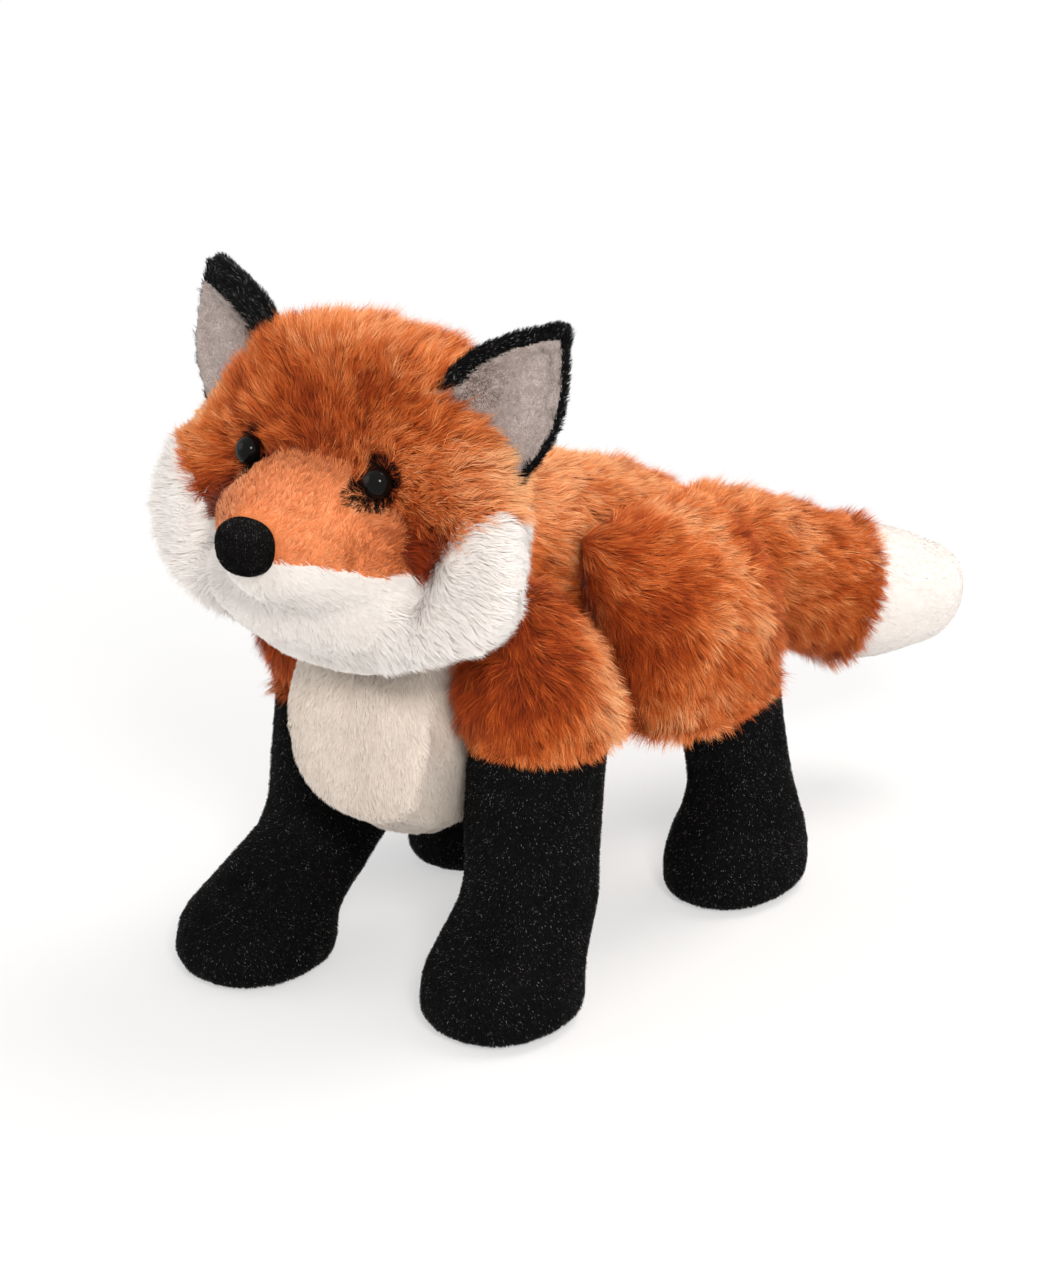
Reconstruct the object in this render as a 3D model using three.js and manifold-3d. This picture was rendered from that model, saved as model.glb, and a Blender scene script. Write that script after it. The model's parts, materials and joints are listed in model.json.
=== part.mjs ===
// A stuffed standing fox: sewn plush skins over fibre fillings, with safety eyes and a flocked nose.
// The fox faces -Y, its left side is +X and its soles stand on Z = 0. All sizes are in millimetres.

import * as THREE from 'three';
import { mergeVertices } from 'three/addons/utils/BufferGeometryUtils.js';
import Module from 'manifold-3d';

const wasm = await Module();
wasm.setup();

// Skins and clearances
const SEAM_GAP = 0.3;
const PLUSH_SKIN = 5;
const VELVET_SKIN = 2.6;
const SEAM_SKIN = 2.4;
const SOLE_CUT = 0.5;
const CUT_REACH = 400;
const MESH_TOLERANCE = 0.03;

// Body
const AXIS_HEIGHT = 118;
const BODY_LENGTH = 180;
const BODY_WIDTH = 76;
const BODY_HEIGHT = 120;
const LEG_SEAM_X = 31;
const LEG_SPACING = 84;
const CHEST_DEPTH = 10;
const FLANK_TILT_DEG = 14;
const FLANK_DROP = 28;

// Neck seam
const NECK_FORWARD = 6;
const NECK_RISE = 32;
const NECK_TILT_DEG = 45;

// Head
const HEAD_WIDTH = 148;
const HEAD_HEIGHT = 122;
const HEAD_DEPTH = 88;
const HEAD_FORWARD = 26;
const MUZZLE_REACH = 50;
const MUZZLE_WIDTH = 86;
const MUZZLE_HEIGHT = 52;
const MUZZLE_RISE = 19;

// Ears
const EAR_HEIGHT = 37;
const EAR_WIDTH = 39;
const EAR_THICKNESS = 6;
const EAR_CUP = 5;
const EARS_OUT = { left: 54, right: 50 };
const EAR_BACK = 5;
const EAR_LINER = 1.8;
const EARS_SPLAY_DEG = { left: 36, right: 30 };
const EARS_TURN_DEG = { left: 17, right: -10 };
const EARS_LEAN_DEG = { left: 8, right: 14 };
const EARS_SUNK = { left: 0, right: 4 };

// Eyes and nose
const EYE_DIAMETER = 10;
const EYE_DOME = 4.4;
const EYE_OUT = 28;
const EYE_RISE = 42;
const EYE_TURN_DEG = 20;
const EYE_LIFT_DEG = 10;
const PATCH_THICKNESS = 1.2;
const PATCH_MARGIN = 2;
const NOSE_WIDTH = 21;
const NOSE_HEIGHT = 19;
const NOSE_DOME = 9;
const NOSE_RISE = 23;
const SHANK_DIAMETER = 3.6;
const SHANK_LENGTH = 13;
const WASHER_DIAMETER = 14;
const WASHER_THICKNESS = 1.6;

// Tail
const TAIL_LENGTH = 114;
const TAIL_DIAMETER = 57;
const TAIL_ROOT_RADIUS = 24;
const TAIL_ROOT_DROP = 5;
const TAIL_STAND_OFF = 10;
const TAIL_DROOP_DEG = 18;
const TAIL_TURN_DEG = 26;
const TIP_LENGTH = 48;

// Legs: the sleeve is the plush upper, the boot is the black velvet lower with the foot
const FRONT_LEG = {
  axisY: 0,
  sleeveRise: 32,
  sleeveDrop: 21,
  hemTiltDeg: -6,
  sleeveLength: 68,
  sleeveBulge: 45,
  footLength: 56,
  footWidth: 49,
  bootTuck: 9,
  bootX: 51,
  footX: 49,
  dome: 10,
};
const HIND_LEG = {
  axisY: LEG_SPACING,
  sleeveRise: 41,
  sleeveDrop: 37,
  hemTiltDeg: 12,
  sleeveLength: 88,
  sleeveBulge: 41,
  footLength: 58,
  footWidth: 44,
  bootTuck: 13,
  bootX: 50,
  footX: 47,
  dome: 10,
};
// How far the top, the ankle and the foot of each boot stand back from the leg's axis, how far in the leg
// stands and how much lower its hem hangs
const STANCES = {
  front_left: { top: 1, ankle: -5, foot: -18, inward: 0, hemDrop: 0 },
  front_right: { top: 8, ankle: -2, foot: -41, inward: 5, hemDrop: 7 },
  hind_left: { top: 16, ankle: 32, foot: 32, inward: 0, hemDrop: 0 },
  hind_right: { top: -2, ankle: -3, foot: -3, inward: 0, hemDrop: 0 },
};
const INSTEP_DROP = 36;
const INSTEP_TILT_DEG = 20;

// Joint ranges in degrees, positive with the foot going back, the head's crown to the left, the tail up
const SWING_RANGES = { front: [-25, 10], hind: [-10, 15] };
const HEAD_RANGE = [-20, 20];
const TAIL_RANGE = [-12, 30];

// Each row: place along the body, lift of the middle, half width, half height
const torsoShares = [
  [-0.19, -0.19, 0.88, 0.52],
  [-0.1, -0.12, 1, 0.84],
  [0, -0.05, 0.97, 1],
  [0.15, 0, 1, 1],
  [0.317, 0.008, 1, 0.92],
  [0.511, -0.025, 1, 0.8],
  [0.678, -0.042, 0.95, 0.62],
  [0.761, -0.05, 0.74, 0.43],
];
const torsoDomeShare = 0.05;

// Each row: height above the neck, half width, how far forward the widest place, the front and the back are
const headShares = [
  [-0.16, 0.4, 0.34, 0.6, -0.04],
  [-0.1, 0.68, 0.35, 0.74, 0.3],
  [-0.02, 0.95, 0.36, 0.78, 0.52],
  [0.098, 1.03, 0.41, 0.6, 0.6],
  [0.23, 1.01, 0.34, 0.56, 0.7],
  [0.369, 0.92, 0.04, 0.46, 0.74],
  [0.47, 0.8, -0.12, 0.38, 0.7],
  [0.55, 0.65, -0.16, 0.3, 0.6],
];
const chinDomeShare = 0.05;
const crownDomeShare = 0.14;

// Each row: reach from the middle of the head, lift, half width, half height
const muzzleShares = [
  [0.22, 0.06, 1.02, 1],
  [0.46, 0.02, 0.98, 1],
  [0.7, -0.02, 0.7, 0.77],
  [0.89, 0, 0.43, 0.58],
];
const muzzleDomeShare = 0.11;

// Face outlines, as shares of half the head's width and of its height above the neck
const muzzleTopShares = [
  [0, 0.385],
  [0.2, 0.375],
  [0.36, 0.32],
  [0.47, 0.28],
  [0.53, 0.24],
  [0.56, 0.19],
  [0.6, 0.135],
  [0.48, 0.12],
  [0.4, 0.14],
  [0.3, 0.155],
  [0.15, 0.168],
  [0, 0.16],
];
const whiteEdgeShares = [
  [0, 0.2],
  [0.5, 0.17],
  [0.6, 0.13],
  [0.66, 0.155],
  [0.7, 0.19],
  [0.75, 0.235],
  [0.81, 0.28],
  [0.87, 0.31],
  [1.2, 0.315],
];
const chinTopShares = [0.62, 0.125];
const chinFootShares = [0.487, -0.04];
const cheekBackShare = 0.2;

// Bib and belly outline: place along the body and height from the leg axis, as shares of its sizes
const bellyEdgeShares = [[-0.07, 0.5], [-0.07, -0.05], [0.02, -0.23], [0.2, -0.28], [0.9, -0.28]];

// Each row: height, shift towards the boot's top, place ahead of the axis, half length, bulge from the seam
const frontSleeveShares = [
  [0.69, 0, 0, 0.56, 0.5],
  [0.31, 0, 0, 0.8, 0.78],
  [-0.14, 0.15, 0, 0.9, 0.92],
  [-0.7, 0.6, -0.08, 0.88, 0.98],
  [-1.5, 0.8, -0.15, 0.8, 1],
];
const hindSleeveShares = [
  [0.78, -0.08, 0.26, 0.84, 0.56],
  [0.45, -0.08, 0.13, 0.97, 0.82],
  [0.04, 0, 0.03, 1.02, 0.95],
  [-0.48, 0.2, 0, 0.95, 1],
  [-0.87, 0.36, 0, 0.8, 1],
  [-1.22, 0.4, 0, 0.68, 0.98],
];

// Each row: height, lean from the top (0) past the ankle (1) to the foot (2), half length, half width
const frontBootShares = [
  [1, 0, 0.86, 0.8],
  [0.62, 0.65, 0.85, 0.83],
  [0.44, 0.92, 0.86, 0.86],
  [0.34, 1.2, 0.93, 0.92],
  [0.22, 1.85, 1, 1],
  [0.12, 2, 1, 1],
  [0.06, 2, 1, 1],
];
const hindBootShares = [
  [1, 0, 0.74, 0.82],
  [0.65, 0.65, 0.7, 0.79],
  [0.47, 0.95, 0.7, 0.81],
  [0.34, 1.15, 0.82, 0.91],
  [0.22, 2, 1, 1],
  [0.06, 2, 1, 1],
];

// Each row: place along the tail, sag, bow to the right, radius
const tailShares = [
  [0, 0, 0, 0.83],
  [0.14, 0, 0, 0.86],
  [0.36, -0.055, 0.04, 1],
  [0.56, -0.075, 0.055, 0.98],
  [0.68, -0.07, 0.05, 0.92],
  [0.78, -0.05, 0.04, 0.85],
  [0.87, -0.03, 0.025, 0.72],
];
const tailDomeShare = 0.13;

// Each row: height, half width
const earShares = [[-0.34, 0.92], [0, 1], [0.3, 0.93], [0.55, 0.72], [0.78, 0.42], [0.92, 0.2]];
const earDomeShare = 0.08;
const linerWidthShare = 0.76;
const linerHeightShare = 0.86;

// Shape of the sections: 2 is an ellipse, more is squarer
const SECTION_POWER = 2.25;
const HEAD_POWER = 2.7;
const HEAD_BACK_POWER = 2;
const DOME_POWER = 2.5;

// Fineness of the forms
const FINE = { torso: [11, 20], head: [12, 24], muzzle: [5, 16], leg: [8, 14], tail: [10, 14], ear: [7, 12] };
const PLAIN = { torso: [7, 12], head: [8, 14], muzzle: [4, 10], leg: [6, 8], tail: [6, 8] };
const DOME_RINGS = 2;
const ROUND_SIDES = 12;
const ARC_STEPS = 4;
const BALL_SIDES = 24;

const COLOURS = {
  rust: 0xb5561f,
  rustShort: 0xc9703a,
  white: 0xf2eeea,
  bib: 0xdcd6cc,
  black: 0x141315,
  liner: 0xbab2bb,
  filling: 0xf4f3ef,
  glossBlack: 0x060607,
  plastic: 0xd8d8d4,
};

const X_AXIS = new THREE.Vector3(1, 0, 0);
const Y_AXIS = new THREE.Vector3(0, 1, 0);
const Z_AXIS = new THREE.Vector3(0, 0, 1);

const vec = (x, y, z) => new THREE.Vector3(x, y, z);
const radians = THREE.MathUtils.degToRad;

// Join rings of points into one closed geometry, with a point at each end, facing out.
function skinRings(startPoint, rings, endPoint) {
  const sides = rings[0].length;
  const points = [startPoint, ...rings.flat(), endPoint];
  const last = points.length - 1;
  const faces = [];
  for (let side = 0; side < sides; side += 1) {
    const next = (side + 1) % sides;
    faces.push([0, 1 + next, 1 + side]);
    for (let ring = 0; ring < rings.length - 1; ring += 1) {
      const low = 1 + ring * sides;
      const high = low + sides;
      faces.push([low + side, low + next, high + next]);
      faces.push([low + side, high + next, high + side]);
    }
    const top = 1 + (rings.length - 1) * sides;
    faces.push([top + side, top + next, last]);
  }
  const spike = ([a, b, c]) => points[a].dot(vec().crossVectors(points[b], points[c]));
  const volume = faces.reduce((sum, face) => sum + spike(face), 0);
  const ordered = volume > 0 ? faces : faces.map(([a, b, c]) => [a, c, b]);
  const geometry = new THREE.BufferGeometry().setFromPoints(points);
  geometry.setIndex(ordered.flat());
  return geometry;
}

// One section: a squared ellipse in the plane of the form's two axes, cupped forward at its edges.
// The half that looks along axisV can have its own reach and roundness.
function sectionRing(form, sides, centre, halfU, halfV, halfBack) {
  const ring = [];
  const power = form.power ?? SECTION_POWER;
  for (let side = 0; side < sides; side += 1) {
    const angle = (2 * Math.PI * side) / sides;
    const behind = Math.sin(angle) > 0;
    const bend = 2 / (behind ? form.backPower ?? power : power);
    const u = Math.sign(Math.cos(angle)) * Math.abs(Math.cos(angle)) ** bend;
    const v = Math.sign(Math.sin(angle)) * Math.abs(Math.sin(angle)) ** bend;
    const point = centre.clone().addScaledVector(form.axisU, u * halfU);
    ring.push(point.addScaledVector(form.axisV, v * (behind ? halfBack : halfV) - (form.cup ?? 0) * u * u));
  }
  return ring;
}

// A stuffed form: sections that follow smooth curves through its stations, with a dome at each end.
function stuffedForm(form, [ringCount, sides], grow = 0) {
  const centres = form.stations.map((station) => station.centre);
  const along = new THREE.CatmullRomCurve3(centres, false, 'catmullrom');
  const sizes = form.stations.map(({ halfU, halfV, halfBack }) => vec(halfU, halfV, halfBack ?? halfV));
  const across = new THREE.CatmullRomCurve3(sizes, false, 'catmullrom');
  const rings = [];
  for (let ring = 0; ring < ringCount; ring += 1) {
    const place = ring / (ringCount - 1);
    const half = across.getPoint(place);
    rings.push(sectionRing(form, sides, along.getPoint(place), half.x + grow, half.y + grow, half.z + grow));
  }
  const dome = (end, depth, power) => {
    const centre = along.getPoint(end);
    const half = across.getPoint(end);
    const outward = along.getTangent(end).multiplyScalar(end ? 1 : -1);
    const domeRings = [];
    for (let ring = 1; ring <= DOME_RINGS; ring += 1) {
      const angle = (Math.PI / 2) * (ring / (DOME_RINGS + 1));
      const size = Math.cos(angle) ** (2 / power);
      const reach = (depth + grow) * Math.sin(angle) ** (2 / power);
      const place = centre.clone().addScaledVector(outward, reach);
      const [halfU, halfV, halfBack] = half.toArray().map((length) => size * (length + grow));
      domeRings.push(sectionRing(form, sides, place, halfU, halfV, halfBack));
    }
    return { domeRings, point: centre.clone().addScaledVector(outward, depth + grow) };
  };
  const start = dome(0, form.startDome, form.startPower ?? DOME_POWER);
  const end = dome(1, form.endDome, DOME_POWER);
  const allRings = [...start.domeRings.reverse(), ...rings, ...end.domeRings];
  return solidOf(skinRings(start.point, allRings, end.point));
}

// Turn a closed geometry into a solid that can be cut and joined.
function solidOf(geometry) {
  const bare = geometry.clone();
  bare.deleteAttribute('normal');
  bare.deleteAttribute('uv');
  const merged = mergeVertices(bare);
  const vertProperties = new Float32Array(merged.attributes.position.array);
  const triVerts = new Uint32Array(merged.index.array);
  return new wasm.Manifold(new wasm.Mesh({ numProp: 3, vertProperties, triVerts }));
}

// Turn a solid back into a geometry.
function geometryOf(solid) {
  const mesh = solid.simplify(MESH_TOLERANCE).getMesh();
  const geometry = new THREE.BufferGeometry();
  geometry.setAttribute('position', new THREE.BufferAttribute(mesh.vertProperties, 3));
  geometry.setIndex(new THREE.BufferAttribute(mesh.triVerts, 1));
  geometry.computeVertexNormals();
  return geometry;
}

function fabric(colour, roughness = 0.95) {
  return new THREE.MeshStandardMaterial({ color: colour, roughness, metalness: 0 });
}

function addPiece(group, name, solid, material) {
  const piece = new THREE.Mesh(geometryOf(solid), material);
  piece.name = name;
  group.add(piece);
  return piece;
}

// Keep what lies beyond a plane, in the direction of its normal.
function keepBeyond(solid, normal, point, gap = 0) {
  return solid.trimByPlane(normal.toArray(), normal.dot(point) + gap);
}

// A prism from an outline of [across, height] points, running forward from a place on Y.
function faceProne(points, backY) {
  const outline = new THREE.Shape(points.map(([x, z]) => new THREE.Vector2(x, z)));
  const prism = new THREE.ExtrudeGeometry(outline, { depth: CUT_REACH, bevelEnabled: false });
  prism.rotateX(Math.PI / 2);
  prism.translate(0, backY, 0);
  return solidOf(prism);
}

// A prism from an outline of [along, height] points, running right across X.
function sideProne(points) {
  const outline = new THREE.Shape(points.map(([y, z]) => new THREE.Vector2(y, z)));
  const prism = new THREE.ExtrudeGeometry(outline, { depth: CUT_REACH, bevelEnabled: false });
  prism.translate(0, 0, -CUT_REACH / 2);
  prism.applyMatrix4(new THREE.Matrix4().makeBasis(Y_AXIS, Z_AXIS, X_AXIS));
  return solidOf(prism);
}

// A rod or disc between two places along a direction from a point.
function rod(point, direction, radius, from, to) {
  const geometry = new THREE.CylinderGeometry(radius, radius, to - from, ROUND_SIDES);
  geometry.translate(0, (from + to) / 2, 0);
  geometry.applyQuaternion(new THREE.Quaternion().setFromUnitVectors(Y_AXIS, direction));
  geometry.translate(...point);
  return solidOf(geometry);
}

// Where a straight line first meets a solid.
function surfacePoint(solid, from, direction) {
  const target = new THREE.Mesh(geometryOf(solid), new THREE.MeshBasicMaterial({ side: THREE.DoubleSide }));
  const [hit] = new THREE.Raycaster(from, direction).intersectObject(target);
  return hit.point;
}

// Body
const neckPoint = vec(0, -NECK_FORWARD, AXIS_HEIGHT + NECK_RISE);
const neckTilt = radians(NECK_TILT_DEG);
const neckAxis = vec(0, -Math.sin(neckTilt), Math.cos(neckTilt));
const seamPoint = vec(LEG_SEAM_X, 0, 0);

const torsoForm = {
  axisU: X_AXIS,
  axisV: Z_AXIS,
  stations: torsoShares.map(([place, lift, width, height]) => ({
    centre: vec(0, place * BODY_LENGTH, AXIS_HEIGHT + lift * BODY_HEIGHT),
    halfU: (width * BODY_WIDTH) / 2,
    halfV: (height * BODY_HEIGHT) / 2,
  })),
  startDome: torsoDomeShare * BODY_LENGTH,
  endDome: torsoDomeShare * BODY_LENGTH,
};
const rumpStation = torsoForm.stations.at(-1).centre;
const tailRoot = vec(0, rumpStation.y + torsoForm.endDome + TAIL_STAND_OFF, AXIS_HEIGHT - TAIL_ROOT_DROP);

// Trim a body form at the neck seam, at the tapered flanks and at the flat seams of the legs.
function trimTorso(form, inset) {
  let trimmed = keepBeyond(form, neckAxis.clone().negate(), neckPoint, SEAM_GAP / 2);
  const tilt = radians(FLANK_TILT_DEG);
  const chest = vec(0, torsoForm.stations[0].centre.y - torsoForm.startDome + CHEST_DEPTH - inset, 0);
  for (const side of [1, -1]) {
    const inward = vec(-side * Math.cos(tilt), 0, Math.sin(tilt));
    const flank = vec(side * LEG_SEAM_X, 0, AXIS_HEIGHT - FLANK_DROP);
    trimmed = keepBeyond(trimmed, inward, flank, inset + SEAM_GAP);
    const legRoom = new THREE.BoxGeometry(CUT_REACH, CUT_REACH, CUT_REACH);
    legRoom.translate(side * (LEG_SEAM_X - inset + CUT_REACH / 2), chest.y + CUT_REACH / 2, 0);
    trimmed = trimmed.subtract(solidOf(legRoom));
  }
  return trimmed;
}

function bellyRegion(grow) {
  const edge = bellyEdgeShares.map(([place, height]) => [
    place * BODY_LENGTH + grow,
    AXIS_HEIGHT + height * BODY_HEIGHT + grow,
  ]);
  const [frontTop] = edge;
  const rear = edge.at(-1);
  const below = [[rear[0], -BODY_HEIGHT], [-BODY_LENGTH, -BODY_HEIGHT], [-BODY_LENGTH, frontTop[1]]];
  return sideProne([...edge, ...below]);
}

function buildTorso() {
  const group = new THREE.Group();
  const ball = new THREE.SphereGeometry(TAIL_ROOT_RADIUS + SEAM_GAP, BALL_SIDES, BALL_SIDES / 2);
  const socket = solidOf(ball.translate(...tailRoot));
  const outer = trimTorso(stuffedForm(torsoForm, FINE.torso), 0).subtract(socket);
  const hollow = trimTorso(stuffedForm(torsoForm, PLAIN.torso, -PLUSH_SKIN), SEAM_SKIN - SEAM_GAP);
  const skin = outer.subtract(stuffedHollow(hollow, neckAxis));
  const back = skin.subtract(bellyRegion(SEAM_GAP));
  const filling = trimTorso(stuffedForm(torsoForm, PLAIN.torso, -PLUSH_SKIN - SEAM_GAP), SEAM_SKIN);
  addPiece(group, 'belly_panel', skin.intersect(bellyRegion(0)), fabric(COLOURS.bib));
  const left = keepBeyond(back, X_AXIS, vec(0, 0, 0), SEAM_GAP / 2);
  const right = keepBeyond(back, vec(-1, 0, 0), vec(0, 0, 0), SEAM_GAP / 2);
  addPiece(group, 'back_panel_left', left, fabric(COLOURS.rust));
  addPiece(group, 'back_panel_right', right, fabric(COLOURS.rust));
  addPiece(group, 'torso_stuffing', filling.subtract(socket), fabric(COLOURS.filling));
  return group;
}

// Push a hollow a little way out through its open end, so that the skin round it stays open there.
function stuffedHollow(hollow, outward) {
  return hollow.add(hollow.translate(outward.clone().multiplyScalar(SEAM_GAP).toArray()));
}

// Head
const headMiddle = vec(0, neckPoint.y - HEAD_FORWARD, neckPoint.z);
const headForm = {
  axisU: X_AXIS,
  axisV: Y_AXIS,
  power: HEAD_POWER,
  backPower: HEAD_BACK_POWER,
  stations: headShares.map(([height, width, widest, front, back]) => ({
    centre: headMiddle.clone().add(vec(0, (-widest * HEAD_DEPTH) / 2, height * HEAD_HEIGHT)),
    halfU: (width * HEAD_WIDTH) / 2,
    halfV: ((front - widest) * HEAD_DEPTH) / 2,
    halfBack: ((back + widest) * HEAD_DEPTH) / 2,
  })),
  startDome: chinDomeShare * HEAD_HEIGHT,
  endDome: crownDomeShare * HEAD_HEIGHT,
};
const muzzleForm = {
  axisU: X_AXIS,
  axisV: Z_AXIS,
  stations: muzzleShares.map(([reach, lift, width, height]) => ({
    centre: headMiddle.clone().add(vec(0, -reach * MUZZLE_REACH, MUZZLE_RISE + lift * MUZZLE_HEIGHT)),
    halfU: (width * MUZZLE_WIDTH) / 2,
    halfV: (height * MUZZLE_HEIGHT) / 2,
  })),
  startDome: muzzleDomeShare * MUZZLE_REACH,
  endDome: muzzleDomeShare * MUZZLE_REACH,
};

function headSolid(fineness, grow) {
  const muzzle = stuffedForm(muzzleForm, fineness.muzzle, grow);
  const whole = stuffedForm(headForm, fineness.head, grow).add(muzzle);
  return keepBeyond(whole, neckAxis, neckPoint, SEAM_GAP / 2);
}

// The left half of an outline on the face, at the head's size.
function faceOutline(shares) {
  return shares.map(([across, height]) => [(across * HEAD_WIDTH) / 2, headMiddle.z + height * HEAD_HEIGHT]);
}

function muzzleTopRegion(grow) {
  const left = faceOutline(muzzleTopShares);
  const middleZ = (left[0][1] + left.at(-1)[1]) / 2;
  const grown = left.map(([x, z]) => [x ? x + grow : 0, z + Math.sign(z - middleZ) * grow]);
  const right = grown.slice(1, -1).reverse().map(([x, z]) => [-x, z]);
  return faceProne([...grown, ...right], headMiddle.y);
}

function whiteRegion(grow) {
  const left = faceOutline(whiteEdgeShares).map(([x, z]) => [x, z + grow]);
  const right = left.slice(1).reverse().map(([x, z]) => [-x, z]);
  const floor = headMiddle.z - HEAD_HEIGHT;
  const edgeX = left.at(-1)[0];
  const backY = headMiddle.y + cheekBackShare * HEAD_DEPTH + grow;
  return faceProne([[-edgeX, floor], ...right, ...left, [edgeX, floor]], backY);
}

// The seam between the chin and a cheek: a point on it and the way out of it.
function chinSeam(side) {
  const [top, foot] = faceOutline([chinTopShares, chinFootShares]).map(([x, z]) => vec(side * x, 0, z));
  const rise = top.clone().sub(foot).normalize();
  return { foot, outward: vec(side * rise.z, 0, -side * rise.x) };
}

// A shank with a dome in front, turned about its own axis, which ends up along the given direction.
function fastener(profile, place, direction, stretch = 1) {
  const geometry = new THREE.LatheGeometry(profile, ROUND_SIDES);
  geometry.applyQuaternion(new THREE.Quaternion().setFromUnitVectors(Y_AXIS, direction));
  geometry.scale(stretch, 1, 1);
  geometry.translate(...place);
  return solidOf(geometry);
}

function domeProfile(radius, dome) {
  const shank = SHANK_DIAMETER / 2;
  const points = [new THREE.Vector2(0, -SHANK_LENGTH), new THREE.Vector2(shank, -SHANK_LENGTH)];
  points.push(new THREE.Vector2(shank, 0));
  for (let step = 0; step < ARC_STEPS; step += 1) {
    const angle = (Math.PI / 2) * (step / ARC_STEPS);
    points.push(new THREE.Vector2(radius * Math.cos(angle), dome * Math.sin(angle)));
  }
  points.push(new THREE.Vector2(0, dome));
  return points;
}

function washerProfile() {
  const inner = SHANK_DIAMETER / 2 + SEAM_GAP;
  const outer = WASHER_DIAMETER / 2;
  const half = WASHER_THICKNESS / 2;
  const corners = [[inner, -half], [outer, -half], [outer, half], [inner, half], [inner, -half]];
  return corners.map(([x, y]) => new THREE.Vector2(x, y));
}

// The eyes and the nose: where each one sits, the way it looks and the room that it needs.
function faceFittings(outer) {
  const fittings = [];
  for (const [name, side] of [['left', 1], ['right', -1]]) {
    const turn = radians(EYE_TURN_DEG);
    const lift = radians(EYE_LIFT_DEG);
    const out = Math.sin(turn) * Math.cos(lift);
    const look = vec(side * out, -Math.cos(turn) * Math.cos(lift), Math.sin(lift));
    const inFront = vec(side * EYE_OUT, headMiddle.y - CUT_REACH, headMiddle.z + EYE_RISE);
    const place = surfacePoint(outer, inFront, Y_AXIS);
    fittings.push({ name: `eye_${name}`, place, look, radius: EYE_DIAMETER / 2, dome: EYE_DOME, stretch: 1 });
  }
  const nosePlace = surfacePoint(outer, vec(0, headMiddle.y - CUT_REACH, headMiddle.z + NOSE_RISE), Y_AXIS);
  const nose = { place: nosePlace, look: vec(0, -1, 0), radius: NOSE_HEIGHT / 2, dome: NOSE_DOME };
  fittings.push({ ...nose, name: 'nose', stretch: NOSE_WIDTH / NOSE_HEIGHT });
  return fittings.map((fitting) => {
    const depth = PLUSH_SKIN + SEAM_GAP + WASHER_THICKNESS / 2;
    const washerPlace = fitting.place.clone().addScaledVector(fitting.look, -depth);
    return { ...fitting, washerPlace };
  });
}

function seatOf(fitting) {
  const radius = fitting.radius * fitting.stretch + SEAM_GAP;
  return rod(fitting.place, fitting.look, radius, -SEAM_GAP, CUT_REACH / 2);
}

function shankHole(fitting) {
  const radius = SHANK_DIAMETER / 2 + SEAM_GAP;
  return rod(fitting.place, fitting.look, radius, -SHANK_LENGTH - SEAM_GAP, SEAM_GAP);
}

function washerPocket(fitting) {
  const radius = WASHER_DIAMETER / 2 + SEAM_GAP;
  const half = WASHER_THICKNESS / 2 + SEAM_GAP;
  return rod(fitting.washerPlace, fitting.look, radius, -half, PLUSH_SKIN);
}

// The dark fur patch behind an eye: a thin almond that follows the face.
function eyePatch(fitting, side) {
  const half = fitting.radius + PATCH_MARGIN;
  const outline = new THREE.Shape();
  outline.absellipse(0, 0, half, half * 1.25, 0, 2 * Math.PI, false, side * radians(EYE_TURN_DEG));
  const settings = { depth: CUT_REACH / 2, bevelEnabled: false, curveSegments: ROUND_SIDES / 2 };
  const prism = new THREE.ExtrudeGeometry(outline, settings);
  prism.rotateX(Math.PI / 2);
  prism.translate(fitting.place.x, headMiddle.y, fitting.place.z);
  const layer = headSolid(FINE, PATCH_THICKNESS + SEAM_GAP).subtract(headSolid(FINE, SEAM_GAP));
  return layer.intersect(solidOf(prism));
}

function earForm(widthShare, heightShare, forward, thickness) {
  return {
    axisU: X_AXIS,
    axisV: Y_AXIS,
    cup: EAR_CUP * widthShare * widthShare,
    stations: earShares.map(([height, width]) => ({
      centre: vec(0, -forward, height * EAR_HEIGHT * (height > 0 ? heightShare : 1)),
      halfU: (width * widthShare * EAR_WIDTH) / 2,
      halfV: thickness / 2,
    })),
    startDome: earDomeShare * EAR_HEIGHT,
    endDome: earDomeShare * EAR_HEIGHT,
  };
}

// Stand an upright ear form on the crown, splayed out and turned outwards.
function placeEar(solid, root, name, side) {
  const turn = new THREE.Quaternion().setFromAxisAngle(Z_AXIS, side * radians(EARS_TURN_DEG[name]));
  const splay = new THREE.Quaternion().setFromAxisAngle(Y_AXIS, side * radians(EARS_SPLAY_DEG[name]));
  const lean = new THREE.Quaternion().setFromAxisAngle(X_AXIS, -radians(EARS_LEAN_DEG[name]));
  const place = new THREE.Matrix4().compose(root, turn.multiply(splay).multiply(lean), vec(1, 1, 1));
  return solid.transform(place.elements);
}

function addEar(group, name, side, outer, clear) {
  const above = vec(side * EARS_OUT[name], headMiddle.y + EAR_BACK, headMiddle.z + CUT_REACH);
  const root = surfacePoint(outer, above, vec(0, 0, -1)).sub(vec(0, 0, EARS_SUNK[name]));
  const back = stuffedForm(earForm(1, 1, 0, EAR_THICKNESS), FINE.ear);
  const backRoom = stuffedForm(earForm(1, 1, 0, EAR_THICKNESS), FINE.ear, SEAM_GAP);
  const liner = stuffedForm(earForm(linerWidthShare, linerHeightShare, EAR_LINER, EAR_THICKNESS), FINE.ear);
  const backSolid = placeEar(back, root, name, side).subtract(clear);
  const linerSolid = placeEar(liner.subtract(backRoom), root, name, side).subtract(clear);
  addPiece(group, `ear_back_${name}`, largestPiece(backSolid), fabric(COLOURS.black));
  addPiece(group, `ear_liner_${name}`, largestPiece(linerSolid), fabric(COLOURS.liner));
}

// The largest of the bodies that a cut leaves.
function largestPiece(solid) {
  return solid.decompose().sort((a, b) => b.volume() - a.volume())[0];
}

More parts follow.
